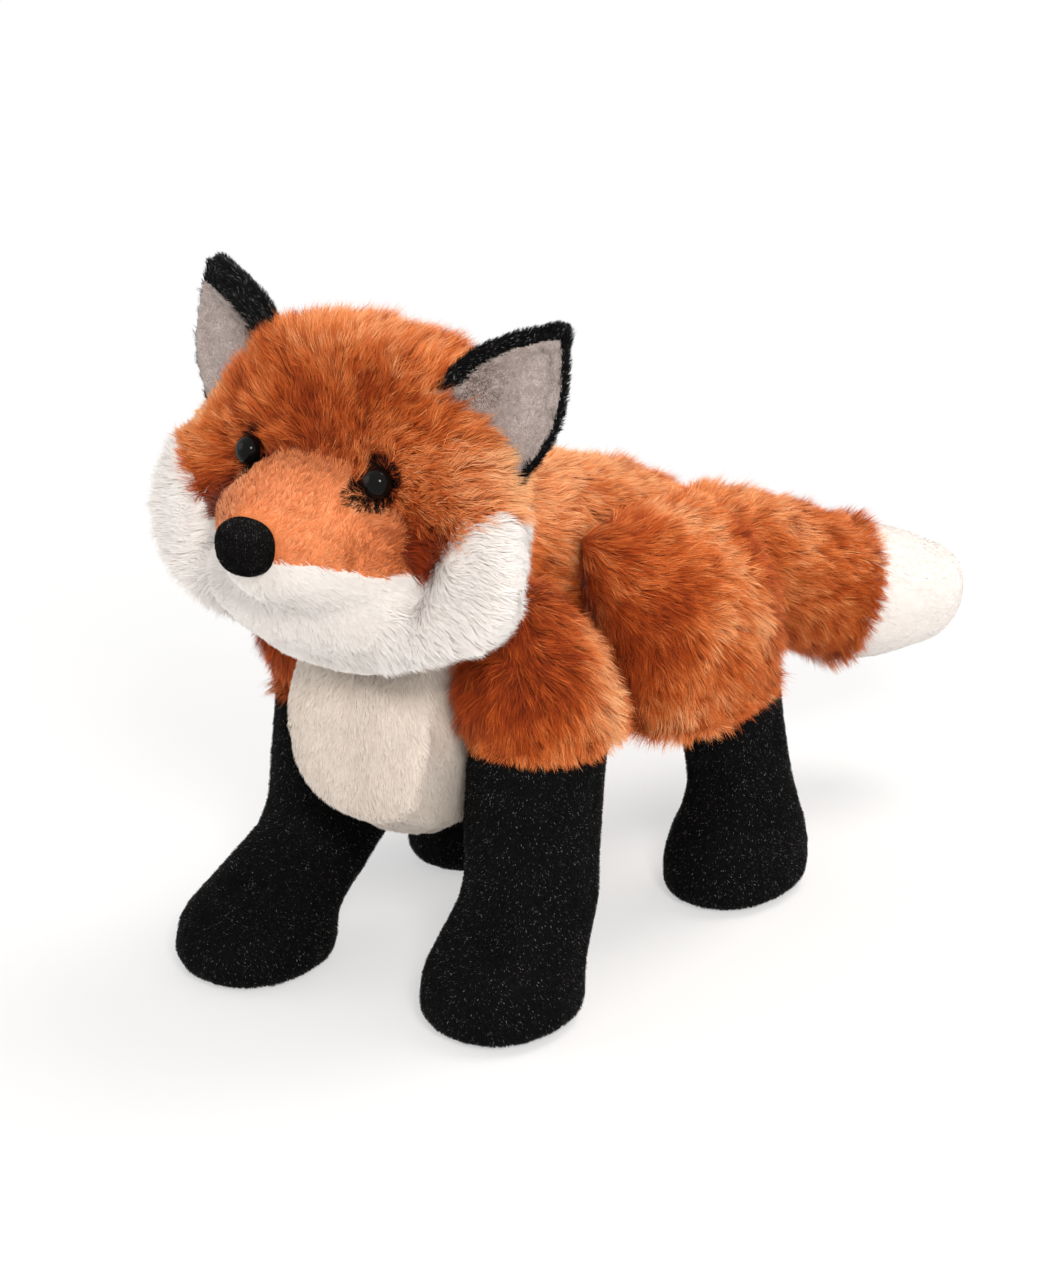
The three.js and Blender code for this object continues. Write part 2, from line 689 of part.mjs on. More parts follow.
function buildHead() {
  const group = new THREE.Group();
  const outer = headSolid(FINE, 0);
  const clear = headSolid(FINE, SEAM_GAP);
  const hollow = headSolid(PLAIN, -PLUSH_SKIN);
  let skin = outer.subtract(stuffedHollow(hollow, neckAxis.clone().negate()));
  let filling = headSolid(PLAIN, -PLUSH_SKIN - SEAM_GAP);
  const patches = {};
  const gloss = new THREE.MeshStandardMaterial({ color: COLOURS.glossBlack, roughness: 0.08, metalness: 0 });
  const plastic = new THREE.MeshStandardMaterial({ color: COLOURS.plastic, roughness: 0.5, metalness: 0 });
  for (const fitting of faceFittings(outer)) {
    const { name, place, look, radius, dome, stretch, washerPlace } = fitting;
    const side = Math.sign(place.x);
    const room = seatOf(fitting).add(shankHole(fitting));
    skin = skin.subtract(room).subtract(washerPocket(fitting));
    filling = filling.subtract(room).subtract(washerPocket(fitting));
    if (side) patches[name] = eyePatch(fitting, side).subtract(room);
    const piece = fastener(domeProfile(radius, dome), place, look, stretch);
    addPiece(group, name, piece, side ? gloss : fabric(COLOURS.black));
    addPiece(group, `${name}_washer`, fastener(washerProfile(), washerPlace, look), plastic);
  }
  const muzzleTop = skin.intersect(muzzleTopRegion(0));
  const rest = skin.subtract(muzzleTopRegion(SEAM_GAP));
  const white = rest.intersect(whiteRegion(0));
  const seams = { left: chinSeam(1), right: chinSeam(-1) };
  const chin = Object.values(seams).reduce((solid, { foot, outward }) => (
    keepBeyond(solid, outward.clone().negate(), foot)
  ), white);
  addPiece(group, 'crown_panel', largestPiece(rest.subtract(whiteRegion(SEAM_GAP))), fabric(COLOURS.rust));
  addPiece(group, 'muzzle_top', largestPiece(muzzleTop), fabric(COLOURS.rustShort));
  addPiece(group, 'chin_panel', largestPiece(chin), fabric(COLOURS.white));
  for (const [name, side] of [['left', 1], ['right', -1]]) {
    const cheek = keepBeyond(white, seams[name].outward, seams[name].foot, SEAM_GAP);
    addPiece(group, `cheek_panel_${name}`, largestPiece(cheek), fabric(COLOURS.white));
    addPiece(group, `eye_patch_${name}`, largestPiece(patches[`eye_${name}`]), fabric(COLOURS.black));
    addEar(group, name, side, outer, clear);
  }
  addPiece(group, 'head_stuffing', filling, fabric(COLOURS.filling));
  return group;
}

// Legs

// Trim a sleeve at the neck seam and where it would reach that seam at the end of its swing.
function clearOfHead(sleeve, inset) {
  const axle = vec(0, FRONT_LEG.axisY, AXIS_HEIGHT);
  const reach = neckPoint.clone().sub(axle).dot(neckAxis);
  const swing = new THREE.Quaternion().setFromAxisAngle(X_AXIS, -radians(SWING_RANGES.front[1]));
  let trimmed = sleeve;
  for (const normal of [neckAxis, neckAxis.clone().applyQuaternion(swing)]) {
    const inward = normal.clone().negate();
    trimmed = keepBeyond(trimmed, inward, axle, inset - reach + SEAM_GAP);
  }
  return trimmed;
}

function legForms(leg, sleeveShares, bootShares, side, stance) {
  const innerX = LEG_SEAM_X - leg.sleeveBulge / 4;
  const rim = AXIS_HEIGHT - leg.sleeveDrop + leg.bootTuck;
  const sleeve = {
    axisU: X_AXIS,
    axisV: Y_AXIS,
    stations: sleeveShares.map(([height, shift, ahead, length, bulge]) => {
      const outerX = LEG_SEAM_X + bulge * leg.sleeveBulge - stance.inward;
      const rise = height * (height > 0 ? leg.sleeveRise : leg.sleeveDrop);
      const y = leg.axisY + shift * stance.top - (ahead * leg.sleeveLength) / 2;
      return {
        centre: vec((side * (outerX + innerX)) / 2, y, AXIS_HEIGHT + rise),
        halfU: (outerX - innerX) / 2,
        halfV: (length * leg.sleeveLength) / 2,
      };
    }),
    startDome: leg.dome,
    endDome: SEAM_SKIN,
  };
  const boot = {
    axisU: X_AXIS,
    axisV: Y_AXIS,
    stations: bootShares.map(([height, lean, length, width]) => {
      const x = THREE.MathUtils.lerp(leg.bootX, leg.footX, lean / 2) - stance.inward;
      const shank = THREE.MathUtils.lerp(stance.top, stance.ankle, Math.min(lean, 1));
      const y = leg.axisY + shank + (stance.foot - stance.ankle) * Math.max(lean - 1, 0);
      return {
        centre: vec(side * x, y, height * rim),
        halfU: (width * leg.footWidth) / 2,
        halfV: (length * leg.footLength) / 2,
      };
    }),
    startDome: leg.dome,
    endDome: bootShares.at(-1)[0] * rim + SOLE_CUT,
  };
  return { sleeve, boot, rim, hem: AXIS_HEIGHT - leg.sleeveDrop - stance.hemDrop };
}

function buildLeg(name, leg, sleeveShares, bootShares, side) {
  const group = new THREE.Group();
  const { sleeve, boot, rim, hem } = legForms(leg, sleeveShares, bootShares, side, STANCES[name]);
  const away = vec(side, 0, 0);
  const seam = seamPoint.clone().multiplyScalar(side);
  const ground = vec(0, 0, 0);
  const hemPoint = vec(0, leg.axisY, hem);
  const rimPoint = vec(0, 0, rim);
  const tilt = radians(INSTEP_TILT_DEG);
  const knee = vec(seam.x, 0, AXIS_HEIGHT - INSTEP_DROP);
  const under = vec(side * Math.cos(tilt), 0, -Math.sin(tilt));
  const bootOuter = (fineness, grow) => {
    const form = keepBeyond(stuffedForm(boot, fineness, grow), Z_AXIS, ground, -Math.min(grow, 0));
    const inset = SEAM_SKIN + SEAM_GAP - grow;
    return keepBeyond(form, away, seam, inset).add(keepBeyond(form, under, knee, inset));
  };
  const bootTop = (solid, gap) => keepBeyond(solid, vec(0, 0, -1), rimPoint, gap);
  const sleeveInner = (grow) => {
    const form = stuffedForm(sleeve, PLAIN.leg, grow - PLUSH_SKIN);
    return clearOfHead(keepBeyond(form, away, seam, SEAM_SKIN + SEAM_GAP - grow), SEAM_SKIN - grow);
  };
  const bootShell = bootTop(bootOuter(FINE.leg, 0).subtract(bootOuter(PLAIN.leg, -VELVET_SKIN)), 0);
  const bootRoom = bootTop(bootOuter(FINE.leg, SEAM_GAP), -SEAM_GAP);
  const sleeveOuter = clearOfHead(keepBeyond(stuffedForm(sleeve, FINE.leg), away, seam, SEAM_GAP), 0);
  const sleeveHollow = sleeveInner(0).add(bootRoom);
  const hemTilt = radians(leg.hemTiltDeg);
  const hemUp = vec(0, -Math.sin(hemTilt), Math.cos(hemTilt));
  const sleeveShell = keepBeyond(sleeveOuter.subtract(sleeveHollow), hemUp, hemPoint);
  const upper = sleeveInner(-SEAM_GAP);
  const aboveRim = keepBeyond(upper.subtract(bootRoom), Z_AXIS, rimPoint, SEAM_GAP);
  const bootFilling = bootOuter(PLAIN.leg, -VELVET_SKIN - SEAM_GAP);
  const neck = bootTop(bootFilling.intersect(upper), -2 * SEAM_GAP);
  const lower = bootTop(bootFilling, SEAM_GAP).add(neck);
  addPiece(group, `${name}_sleeve`, largestPiece(sleeveShell), fabric(COLOURS.rust));
  addPiece(group, `${name}_boot`, largestPiece(bootShell), fabric(COLOURS.black, 0.8));
  addPiece(group, `${name}_stuffing`, largestPiece(aboveRim.add(lower)), fabric(COLOURS.filling));
  return group;
}

// Tail
function tailForm() {
  const droop = radians(TAIL_DROOP_DEG);
  const turn = radians(TAIL_TURN_DEG);
  const along = vec(Math.sin(turn) * Math.cos(droop), Math.cos(turn) * Math.cos(droop), -Math.sin(droop));
  const across = vec(Math.cos(turn), -Math.sin(turn), 0);
  const up = vec().crossVectors(across, along);
  const stations = tailShares.map(([place, sag, bow, radius]) => {
    const centre = tailRoot.clone().addScaledVector(along, place * TAIL_LENGTH);
    centre.addScaledVector(up, sag * TAIL_LENGTH).addScaledVector(across, -bow * TAIL_LENGTH);
    return { centre, halfU: (radius * TAIL_DIAMETER) / 2, halfV: (radius * TAIL_DIAMETER) / 2 };
  });
  const form = { axisU: across, axisV: up, power: 2, stations, startDome: TAIL_ROOT_RADIUS, startPower: 2 };
  return { ...form, endDome: tailDomeShare * TAIL_LENGTH, along };
}

function buildTail() {
  const group = new THREE.Group();
  const form = tailForm();
  const seam = tailRoot.clone().addScaledVector(form.along, TAIL_LENGTH - TIP_LENGTH);
  const inward = form.along.clone().negate();
  const skin = stuffedForm(form, FINE.tail).subtract(stuffedForm(form, PLAIN.tail, -PLUSH_SKIN));
  const sleeve = keepBeyond(skin, inward, seam, SEAM_GAP / 2);
  const tip = keepBeyond(skin, form.along, seam, SEAM_GAP / 2);
  addPiece(group, 'tail_sleeve', sleeve, fabric(COLOURS.rust));
  addPiece(group, 'tail_tip', tip, fabric(COLOURS.white));
  const filling = stuffedForm(form, PLAIN.tail, -PLUSH_SKIN - SEAM_GAP);
  addPiece(group, 'tail_stuffing', filling, fabric(COLOURS.filling));
  return group;
}

const fox = new THREE.Group();
fox.add(buildTorso());
fox.add(buildHead());
fox.add(buildLeg('front_left', FRONT_LEG, frontSleeveShares, frontBootShares, 1));
fox.add(buildLeg('front_right', FRONT_LEG, frontSleeveShares, frontBootShares, -1));
fox.add(buildLeg('hind_left', HIND_LEG, hindSleeveShares, hindBootShares, 1));
fox.add(buildLeg('hind_right', HIND_LEG, hindSleeveShares, hindBootShares, -1));
fox.add(buildTail());

// Put the origin on the ground in the middle of the fox.
const bounds = new THREE.Box3().setFromObject(fox, true);
const middle = bounds.getCenter(vec());
fox.position.set(-middle.x, -middle.y, -bounds.min.z);
fox.updateMatrixWorld(true);

// The seams that turn, in the finished frame
const seamAt = (x, y, z) => vec(x, y, z).add(fox.position).toArray();
fox.userData.joints = {
  neck: { point: neckPoint.clone().add(fox.position).toArray(), axis: neckAxis.toArray(), range: HEAD_RANGE },
  front: { point: seamAt(0, FRONT_LEG.axisY, AXIS_HEIGHT), axis: [1, 0, 0], range: SWING_RANGES.front },
  hind: { point: seamAt(0, HIND_LEG.axisY, AXIS_HEIGHT), axis: [1, 0, 0], range: SWING_RANGES.hind },
  tail: { point: tailRoot.clone().add(fox.position).toArray(), axis: [1, 0, 0], range: TAIL_RANGE },
};

export default fox;
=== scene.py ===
# A stuffed plush fox: smooth sewn skins under pile made of real strands, with glossy eyes,
# a flocked nose and cupped, lined ears. Everything is in metres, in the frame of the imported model.

import json
import math
from collections import namedtuple

import bmesh
import bpy
import numpy as np
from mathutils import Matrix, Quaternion, Vector
from mathutils.bvhtree import BVHTree
from mathutils.kdtree import KDTree


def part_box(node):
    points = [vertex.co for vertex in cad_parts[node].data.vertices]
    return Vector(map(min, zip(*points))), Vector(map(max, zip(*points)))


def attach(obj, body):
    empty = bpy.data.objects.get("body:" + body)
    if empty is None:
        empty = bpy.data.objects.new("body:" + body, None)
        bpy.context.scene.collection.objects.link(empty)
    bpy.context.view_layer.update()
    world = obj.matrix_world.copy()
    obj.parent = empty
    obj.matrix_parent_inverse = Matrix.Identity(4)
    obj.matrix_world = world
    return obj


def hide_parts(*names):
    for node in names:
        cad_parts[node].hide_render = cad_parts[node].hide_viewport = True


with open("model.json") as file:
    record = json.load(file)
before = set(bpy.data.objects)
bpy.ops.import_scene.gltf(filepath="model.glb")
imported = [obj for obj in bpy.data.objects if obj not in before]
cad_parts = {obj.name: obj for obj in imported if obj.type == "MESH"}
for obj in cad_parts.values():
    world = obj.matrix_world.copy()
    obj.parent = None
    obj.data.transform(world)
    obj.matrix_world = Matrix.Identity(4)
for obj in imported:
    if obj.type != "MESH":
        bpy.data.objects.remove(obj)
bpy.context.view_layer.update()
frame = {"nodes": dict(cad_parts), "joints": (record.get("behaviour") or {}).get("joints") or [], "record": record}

MM = 0.001
TINY = 1e-12
SEED = 7341
SEAM_SEED, NOSE_SEED, EAR_SEED = SEED + 3, SEED + 40, SEED + 50
SIDES = ((1, "left"), (-1, "right"))
NODES = frame["nodes"]
JOINTS = {joint["name"]: joint for joint in frame["joints"]}
RECORD = frame["record"]
BODIES = {body: list(names) for body, names in RECORD["behaviour"]["bodies"].items()}

# Places, in mm from the ground under the front legs' axis

SHOULDER = Vector(JOINTS["front_left_swing"]["pos_m"])
GROUND_POINT = np.array([SHOULDER.x, SHOULDER.y, 0])


def from_shoulder(x, y, z):
    return Vector((x, y, z)) * MM + Vector(GROUND_POINT)


def local_mm(points):
    return (points - GROUND_POINT) / MM


# Small helpers


def link(obj):
    bpy.context.scene.collection.objects.link(obj)
    return obj


def aimed(place, aim):
    """The turn that points a camera or a lamp from its place at its aim."""
    return (Vector(aim) - Vector(place)).to_track_quat("-Z", "Y").to_euler()


def rows_of(items, attribute, width, kind=float):
    """An attribute of a mesh's vertices, edges or triangles, one row to each."""
    values = np.empty(len(items) * width, kind)
    items.foreach_get(attribute, values)
    return values.reshape(-1, width)


def coords(mesh):
    return rows_of(mesh.vertices, "co", 3)


def vertex_normals(mesh):
    return rows_of(mesh.vertices, "normal", 3)


def set_coords(mesh, values):
    mesh.vertices.foreach_set("co", np.ascontiguousarray(values, np.float32).ravel())
    mesh.update()


def smooth_shaded(mesh):
    mesh.polygons.foreach_set("use_smooth", np.ones(len(mesh.polygons), bool))


def unit(vectors):
    return vectors / np.maximum(np.linalg.norm(vectors, axis=-1, keepdims=True), TINY)


def along_surface(ways, normals):
    return unit(ways - (ways * normals).sum(1, keepdims=True) * normals)


def smoothstep(values, low, high):
    t = np.clip((values - low) / (high - low), 0, 1)
    return t * t * (3 - 2 * t)


def bell(away, reach):
    """1 in the middle, fading to nothing past the reach."""
    return np.exp(-((away / reach) ** 2))


OCTAVES, WAVES_EACH = 3, 4
OCTAVE_SHRINK, OCTAVE_FADE = 1.7, 1.6


def waves(points, length, seed, channels=3):
    """A smooth random field with values round 0, changing over about the given length."""
    rng = np.random.default_rng(seed)
    total = np.zeros((len(points), channels))
    for octave in range(OCTAVES):
        size = length / OCTAVE_SHRINK**octave
        for _ in range(WAVES_EACH):
            way = unit(rng.normal(size=(channels, 3))) * (2 * math.pi / size)
            phase = rng.uniform(0, 2 * math.pi, channels)
            total += np.sin(points @ way.T + phase) / OCTAVE_FADE**octave
    return total / WAVES_EACH


def distance_to_path(points, path):
    """How far each point is from a path, which may be a single place."""
    best = np.full(len(points), np.inf)
    ends = [np.array(place, float) for place in path]
    for a, b in zip(ends[:-1] or ends, ends[1:] or ends):
        t = np.clip(((points - a) @ (b - a)) / max((b - a) @ (b - a), TINY), 0, 1)
        best = np.minimum(best, np.linalg.norm(points - a - t[:, None] * (b - a), axis=1))
    return best


def mirrored_mm(points):
    """Places in mm, the right side's laid over the left side's."""
    place = local_mm(points)
    place[:, 0] = np.abs(place[:, 0])
    return place


def tree_of(names):
    """A search tree over several CAD nodes, with the node's name of each triangle."""
    points, faces, owners = [], [], []
    for name in names:
        mesh = NODES[name].data
        mesh.calc_loop_triangles()
        start = len(points)
        points.extend(v.co.copy() for v in mesh.vertices)
        for triangle in mesh.loop_triangles:
            faces.append([start + i for i in triangle.vertices])
            owners.append(name)
    return BVHTree.FromPolygons(points, faces, all_triangles=True), owners


# Camera

LENS, SENSOR_WIDTH, VIEW_DEPTH = 84.6, 36, 20
CAMERA_PLACE = from_shoulder(637.0, -703.9, 473.2)
CAMERA_AIM = from_shoulder(0, 55.27, 102.73)

camera_data = bpy.data.cameras.new("camera")
camera_data.lens = LENS
camera_data.sensor_width = SENSOR_WIDTH
camera_data.clip_end = VIEW_DEPTH
camera = link(bpy.data.objects.new("camera", camera_data))
camera.location = CAMERA_PLACE
camera.rotation_euler = aimed(CAMERA_PLACE, CAMERA_AIM)
bpy.context.scene.camera = camera

# Materials

TIP_BLEND = (0.1, 0.9)
SHEEN_ROUGHNESS = 0.5
BACKING_ROUGHNESS, BACKING_DETAIL, BACKING_DEPTH = 0.9, 4, 0.6 * MM
MOTTLE = (0.3, 0.7)
EYE_NOISE, EYE_ROUGHNESS, EYE_SPECULAR = 300, 0.05, 0.11


def new_material(name):
    material = bpy.data.materials.new(name)
    material.use_nodes = True
    tree = material.node_tree
    return material, tree, tree.nodes["Principled BSDF"]


def set_inputs(node, **values):
    for name, value in values.items():
        node.inputs[name.replace("_", " ")].default_value = value


def set_surface(shader, roughness, specular):
    shader.inputs["Roughness"].default_value = roughness
    shader.inputs["Specular IOR Level"].default_value = specular


def ramp(tree, source, stops):
    node = tree.nodes.new("ShaderNodeValToRGB")
    elements = node.color_ramp.elements
    while len(elements) < len(stops):
        elements.new(0.5)
    for element, (place, colour) in zip(elements, stops):
        element.position = place
        element.color = (*colour, 1)
    tree.links.new(source, node.inputs["Fac"])
    return node.outputs["Color"]


def mottled(tree, noise, dark, light):
    return ramp(tree, noise.outputs["Fac"], list(zip(MOTTLE, (dark, light))))


def map_range(tree, value, span, target):
    node = tree.nodes.new("ShaderNodeMapRange")
    node.interpolation_type = "SMOOTHSTEP"
    for end, start, goal in zip(("Min", "Max"), span, target):
        node.inputs[f"From {end}"].default_value = start
        node.inputs[f"To {end}"].default_value = goal
    tree.links.new(value, node.inputs["Value"])
    return node.outputs["Result"]


def combined(tree, operation, first, second):
    node = tree.nodes.new("ShaderNodeMath")
    node.operation = operation
    tree.links.new(first, node.inputs[0])
    tree.links.new(second, node.inputs[1])
    return node.outputs["Value"]


def mix_colour(tree, factor, first, second):
    node = tree.nodes.new("ShaderNodeMix")
    node.data_type = "RGBA"
    for socket, source in (("Factor", factor), ("A", first), ("B", second)):
        tree.links.new(source, node.inputs[socket])
    return node.outputs["Result"]


def pile_material(name, roots, tips, roughness=0.75, sheen=0.05, specular=0.12):
    """Strands: each one's shade runs along u and root to tip along v."""
    material, tree, shader = new_material(name)
    uv = tree.nodes.new("ShaderNodeUVMap")
    uv.uv_map = "OFBake"
    split = tree.nodes.new("ShaderNodeSeparateXYZ")
    tree.links.new(uv.outputs["UV"], split.inputs["Vector"])
    root = ramp(tree, split.outputs["X"], roots)
    tip = ramp(tree, split.outputs["X"], tips)
    along = map_range(tree, split.outputs["Y"], TIP_BLEND, (0, 1))
    colour = mix_colour(tree, along, root, tip)
    tree.links.new(colour, shader.inputs["Base Color"])
    set_surface(shader, roughness, specular)
    set_inputs(shader, Sheen_Weight=sheen, Sheen_Roughness=SHEEN_ROUGHNESS)
    return material


def skin_material(name, dark, light, scale=260.0, bump=0.25, specular=0.15):
    """The woven backing under the pile, in a mottled colour."""
    material, tree, shader = new_material(name)
    where = tree.nodes.new("ShaderNodeTexCoord")
    fine = tree.nodes.new("ShaderNodeTexNoise")
    set_inputs(fine, Scale=scale, Detail=BACKING_DETAIL)
    tree.links.new(where.outputs["Object"], fine.inputs["Vector"])
    tree.links.new(mottled(tree, fine, dark, light), shader.inputs["Base Color"])
    lift = tree.nodes.new("ShaderNodeBump")
    set_inputs(lift, Strength=bump, Distance=BACKING_DEPTH)
    tree.links.new(fine.outputs["Fac"], lift.inputs["Height"])
    tree.links.new(lift.outputs["Normal"], shader.inputs["Normal"])
    set_surface(shader, BACKING_ROUGHNESS, specular)
    return material


def gloss_material():
    """The hard, nearly black gloss of the eyes."""
    material, tree, shader = new_material("eye_gloss")
    noise = tree.nodes.new("ShaderNodeTexNoise")
    set_inputs(noise, Scale=EYE_NOISE)
    colour = mottled(tree, noise, (0.002, 0.002, 0.002), (0.005, 0.004, 0.004))
    tree.links.new(colour, shader.inputs["Base Color"])
    set_surface(shader, EYE_ROUGHNESS, EYE_SPECULAR)
    return material


RUST_ROOTS = [(0.0, (0.13, 0.013, 0.002)), (0.5, (0.37, 0.056, 0.008)), (1.0, (0.7, 0.2, 0.055))]
RUST_TIPS = [
    (0.0, (0.3, 0.036, 0.004)),
    (0.35, (0.6, 0.1, 0.012)),
    (0.7, (0.89, 0.275, 0.072)),
    (1.0, (1.0, 0.58, 0.29)),
]
SHORT_ROOTS = [(0.0, (0.32, 0.07, 0.018)), (0.5, (0.7, 0.21, 0.075)), (1.0, (0.86, 0.3, 0.12))]
SHORT_TIPS = [(0.0, (0.4, 0.09, 0.025)), (0.5, (0.93, 0.36, 0.15)), (1.0, (1.0, 0.54, 0.28))]
WHITE_ROOTS = [(0.0, (0.9, 0.85, 0.81)), (1.0, (0.95, 0.91, 0.88))]
WHITE_TIPS = [(0.0, (0.95, 0.91, 0.88)), (1.0, (0.99, 0.97, 0.95))]
BIB_ROOTS = [(0.0, (0.7, 0.61, 0.53)), (1.0, (0.84, 0.76, 0.68))]
BIB_TIPS = [(0.0, (0.82, 0.73, 0.65)), (1.0, (0.96, 0.89, 0.82))]
BLACK_BACKING = ((0.002, 0.002, 0.002), (0.005, 0.005, 0.005))
BLACK_ROOTS = [(0.0, (0.001, 0.001, 0.001)), (1.0, (0.003, 0.003, 0.003))]
# The lightest black tips are painted glints: a few strands light up as sparkles on the black pile.
BLACK_TIPS = [
    (0.0, (0.001, 0.001, 0.001)),
    (0.6, (0.003, 0.003, 0.003)),
    (0.68, (0.028, 0.027, 0.028)),
    (0.88, (0.4, 0.39, 0.4)),
]
PATCH_TIPS = [(0.0, (0.002, 0.0015, 0.0015)), (1.0, (0.012, 0.008, 0.006))]
LINER_ROOTS = [(0.0, (0.12, 0.082, 0.07)), (1.0, (0.46, 0.4, 0.38))]
LINER_TIPS = [(0.0, (0.15, 0.105, 0.09)), (0.5, (0.44, 0.375, 0.35)), (1.0, (0.72, 0.66, 0.64))]

# Each look: the backing's dark and light colour, then the colours of the pile's roots and tips.
LOOKS = {
    "rust": (((0.2, 0.03, 0.005), (0.34, 0.06, 0.012)), RUST_ROOTS, RUST_TIPS),
    "short_rust": (((0.62, 0.17, 0.05), (0.84, 0.28, 0.1)), SHORT_ROOTS, SHORT_TIPS),
    "white": (((0.84, 0.78, 0.73), (0.92, 0.87, 0.83)), WHITE_ROOTS, WHITE_TIPS),
    "bib": (((0.64, 0.55, 0.47), (0.78, 0.7, 0.62)), BIB_ROOTS, BIB_TIPS),
    "velvet": (BLACK_BACKING, BLACK_ROOTS, BLACK_TIPS),
    "black": (BLACK_BACKING, BLACK_ROOTS, BLACK_TIPS),
    "patch": (((0.002, 0.002, 0.002), (0.004, 0.003, 0.003)), BLACK_ROOTS, PATCH_TIPS),
    "liner": (((0.28, 0.23, 0.21), (0.42, 0.36, 0.34)), LINER_ROOTS, LINER_TIPS),
}

# Where a backing or a pile isn't the usual one.
BACKINGS = {
    "velvet": dict(scale=900.0, specular=0.04),
    "black": dict(specular=0.04),
    "patch": dict(specular=0.04),
    "liner": dict(scale=500.0),
}
PILES = {
    "velvet": dict(roughness=0.6, sheen=0.0, specular=0.06),
    "black": dict(roughness=0.6, sheen=0.0, specular=0.1),
    "patch": dict(roughness=0.6, sheen=0.0, specular=0.08),
}

MATERIALS = {}
for look, (backing, roots, tips) in LOOKS.items():
    woven = skin_material(f"{look}_backing", *backing, **BACKINGS.get(look, {}))
    MATERIALS[look] = (woven, pile_material(f"{look}_pile", roots, tips, **PILES.get(look, {})))
EYE_GLOSS = gloss_material()
FLOCK_COLOURS = ((0.002, 0.002, 0.002), (0.008, 0.007, 0.007))
NOSE_FLOCK = skin_material("nose_flock", *FLOCK_COLOURS, scale=1500.0, bump=0.5, specular=0.04)

# Zones of pile: lengths, insets and widths in mm, density in strands per square mm, lean from upright
# in degrees. Clump is how far a lock draws its strands together, unrest how unevenly they stand, curl
# how far their comb swirls, and soft how far they are shaded as the surface instead of as blades.

ZONE_WORDS = "look length density lean inset width clump unrest curl soft"
Zone = namedtuple("Zone", ZONE_WORDS, defaults=(0.17, 0.3, 1.0, 0.3, 0.7))
ZONES = {
    "crown_panel": Zone("rust", 9.8, 5.2, 55, 3.4),
    "muzzle_top": Zone("short_rust", 2.3, 6.0, 60, 0.8, 0.18, 0.15, 0.9, 0.25, 0.85),
    "chin_panel": Zone("white", 3.0, 6.5, 66, 0.8, 0.18, 0.06, 0.45, 0.2, 0.95),
    "cheek_panel_left": Zone("white", 7.4, 6.0, 59, 1.6, 0.2, 0.1, 0.5, 0.3, 0.95),
    "belly_panel": Zone("bib", 2.8, 5.5, 68, 1.2, 0.18, 0.1, 0.5, 0.15, 0.9),
    "back_panel_left": Zone("rust", 9.5, 4.6, 58, 4.0),
    "sleeve": Zone("rust", 9.0, 5.0, 56, 4.0),
    "boot": Zone("velvet", 1.0, 4.5, 45, 0.4, 0.17, 0.1, 1.0, 0.5),
    "tail_sleeve": Zone("rust", 10.0, 5.0, 56, 4.2),
    "tail_tip": Zone("white", 2.6, 6.5, 72, 0.0, 0.18, 0.1, 0.4, 0.1, 0.95),
    "eye_patch": Zone("patch", 3.8, 9.0, 60, 1.6, 0.2, 0.3, 1.0, 0.1),
    "nose": Zone("velvet", 0.55, 14.0, 40, 0, 0.13, 0.0, 1.0, 0.3),
    "ear_back": Zone("black", 2.3, 9.0, 50, 0, 0.18, 0.2, 1.0, 0.2),
    "ear_liner": Zone("liner", 0.7, 9.0, 62, 0, 0.2, 0.1, 1.0, 0.2, 0.9),
}
SHARED_ZONES = ("sleeve", "boot", "eye_patch", "ear_back", "ear_liner")
LONG_PILE = 5


def zone_of(node):
    if node in ZONES:
        return ZONES[node]
    for key in SHARED_ZONES:
        if key in node:
            return ZONES[key]
    return ZONES[node.replace("right", "left")]


# Folds and swellings of the skins: a path in mm, alike on both sides, its lift and its reach.
FOLDS = {
    "head": (
        (((27, -56, 184), (37, -55, 181), (50, -54, 177), (47, -55, 168), (44, -58, 161)), -4.5, 5.0),
        (((0, -53, 197), (12, -53, 196), (24, -54, 194)), -2.2, 4.0),
        (((0, -50, 207), (14, -50, 206), (30, -49, 204)), 2.6, 8.0),
        (((58, -50, 190), (64, -46, 184)), 2.0, 8.0),
        (((45, -59, 159), (45, -61, 152), (32, -61, 136)), -1.0, 4.0),
    ),
    "front_left_leg": (
        (((54, -32, 38), (58, -31, 36)), -3.2, 5.5),
        (((34, -10, 88), (35, -8, 70)), 3.0, 14.0),
    ),
    "tail": ((((36, 226, 105), (40, 232, 80)), 1.5, 30.0),),
    "front_right_leg": ((((41, -42, 34), (46, -42, 33)), -3.2, 5.5),),
    "hind_left_leg": ((((50, 93, 52), (53, 93, 50)), -3.2, 5.5),),
    "hind_right_leg": ((((50, 58, 52), (53, 58, 50)), -3.2, 5.5),),
}

# The feet swell by so much, in full up to the first level and not at all above the second.
FOOT_SWELL = 1.3
FOOT_LEVELS = (8, 34)
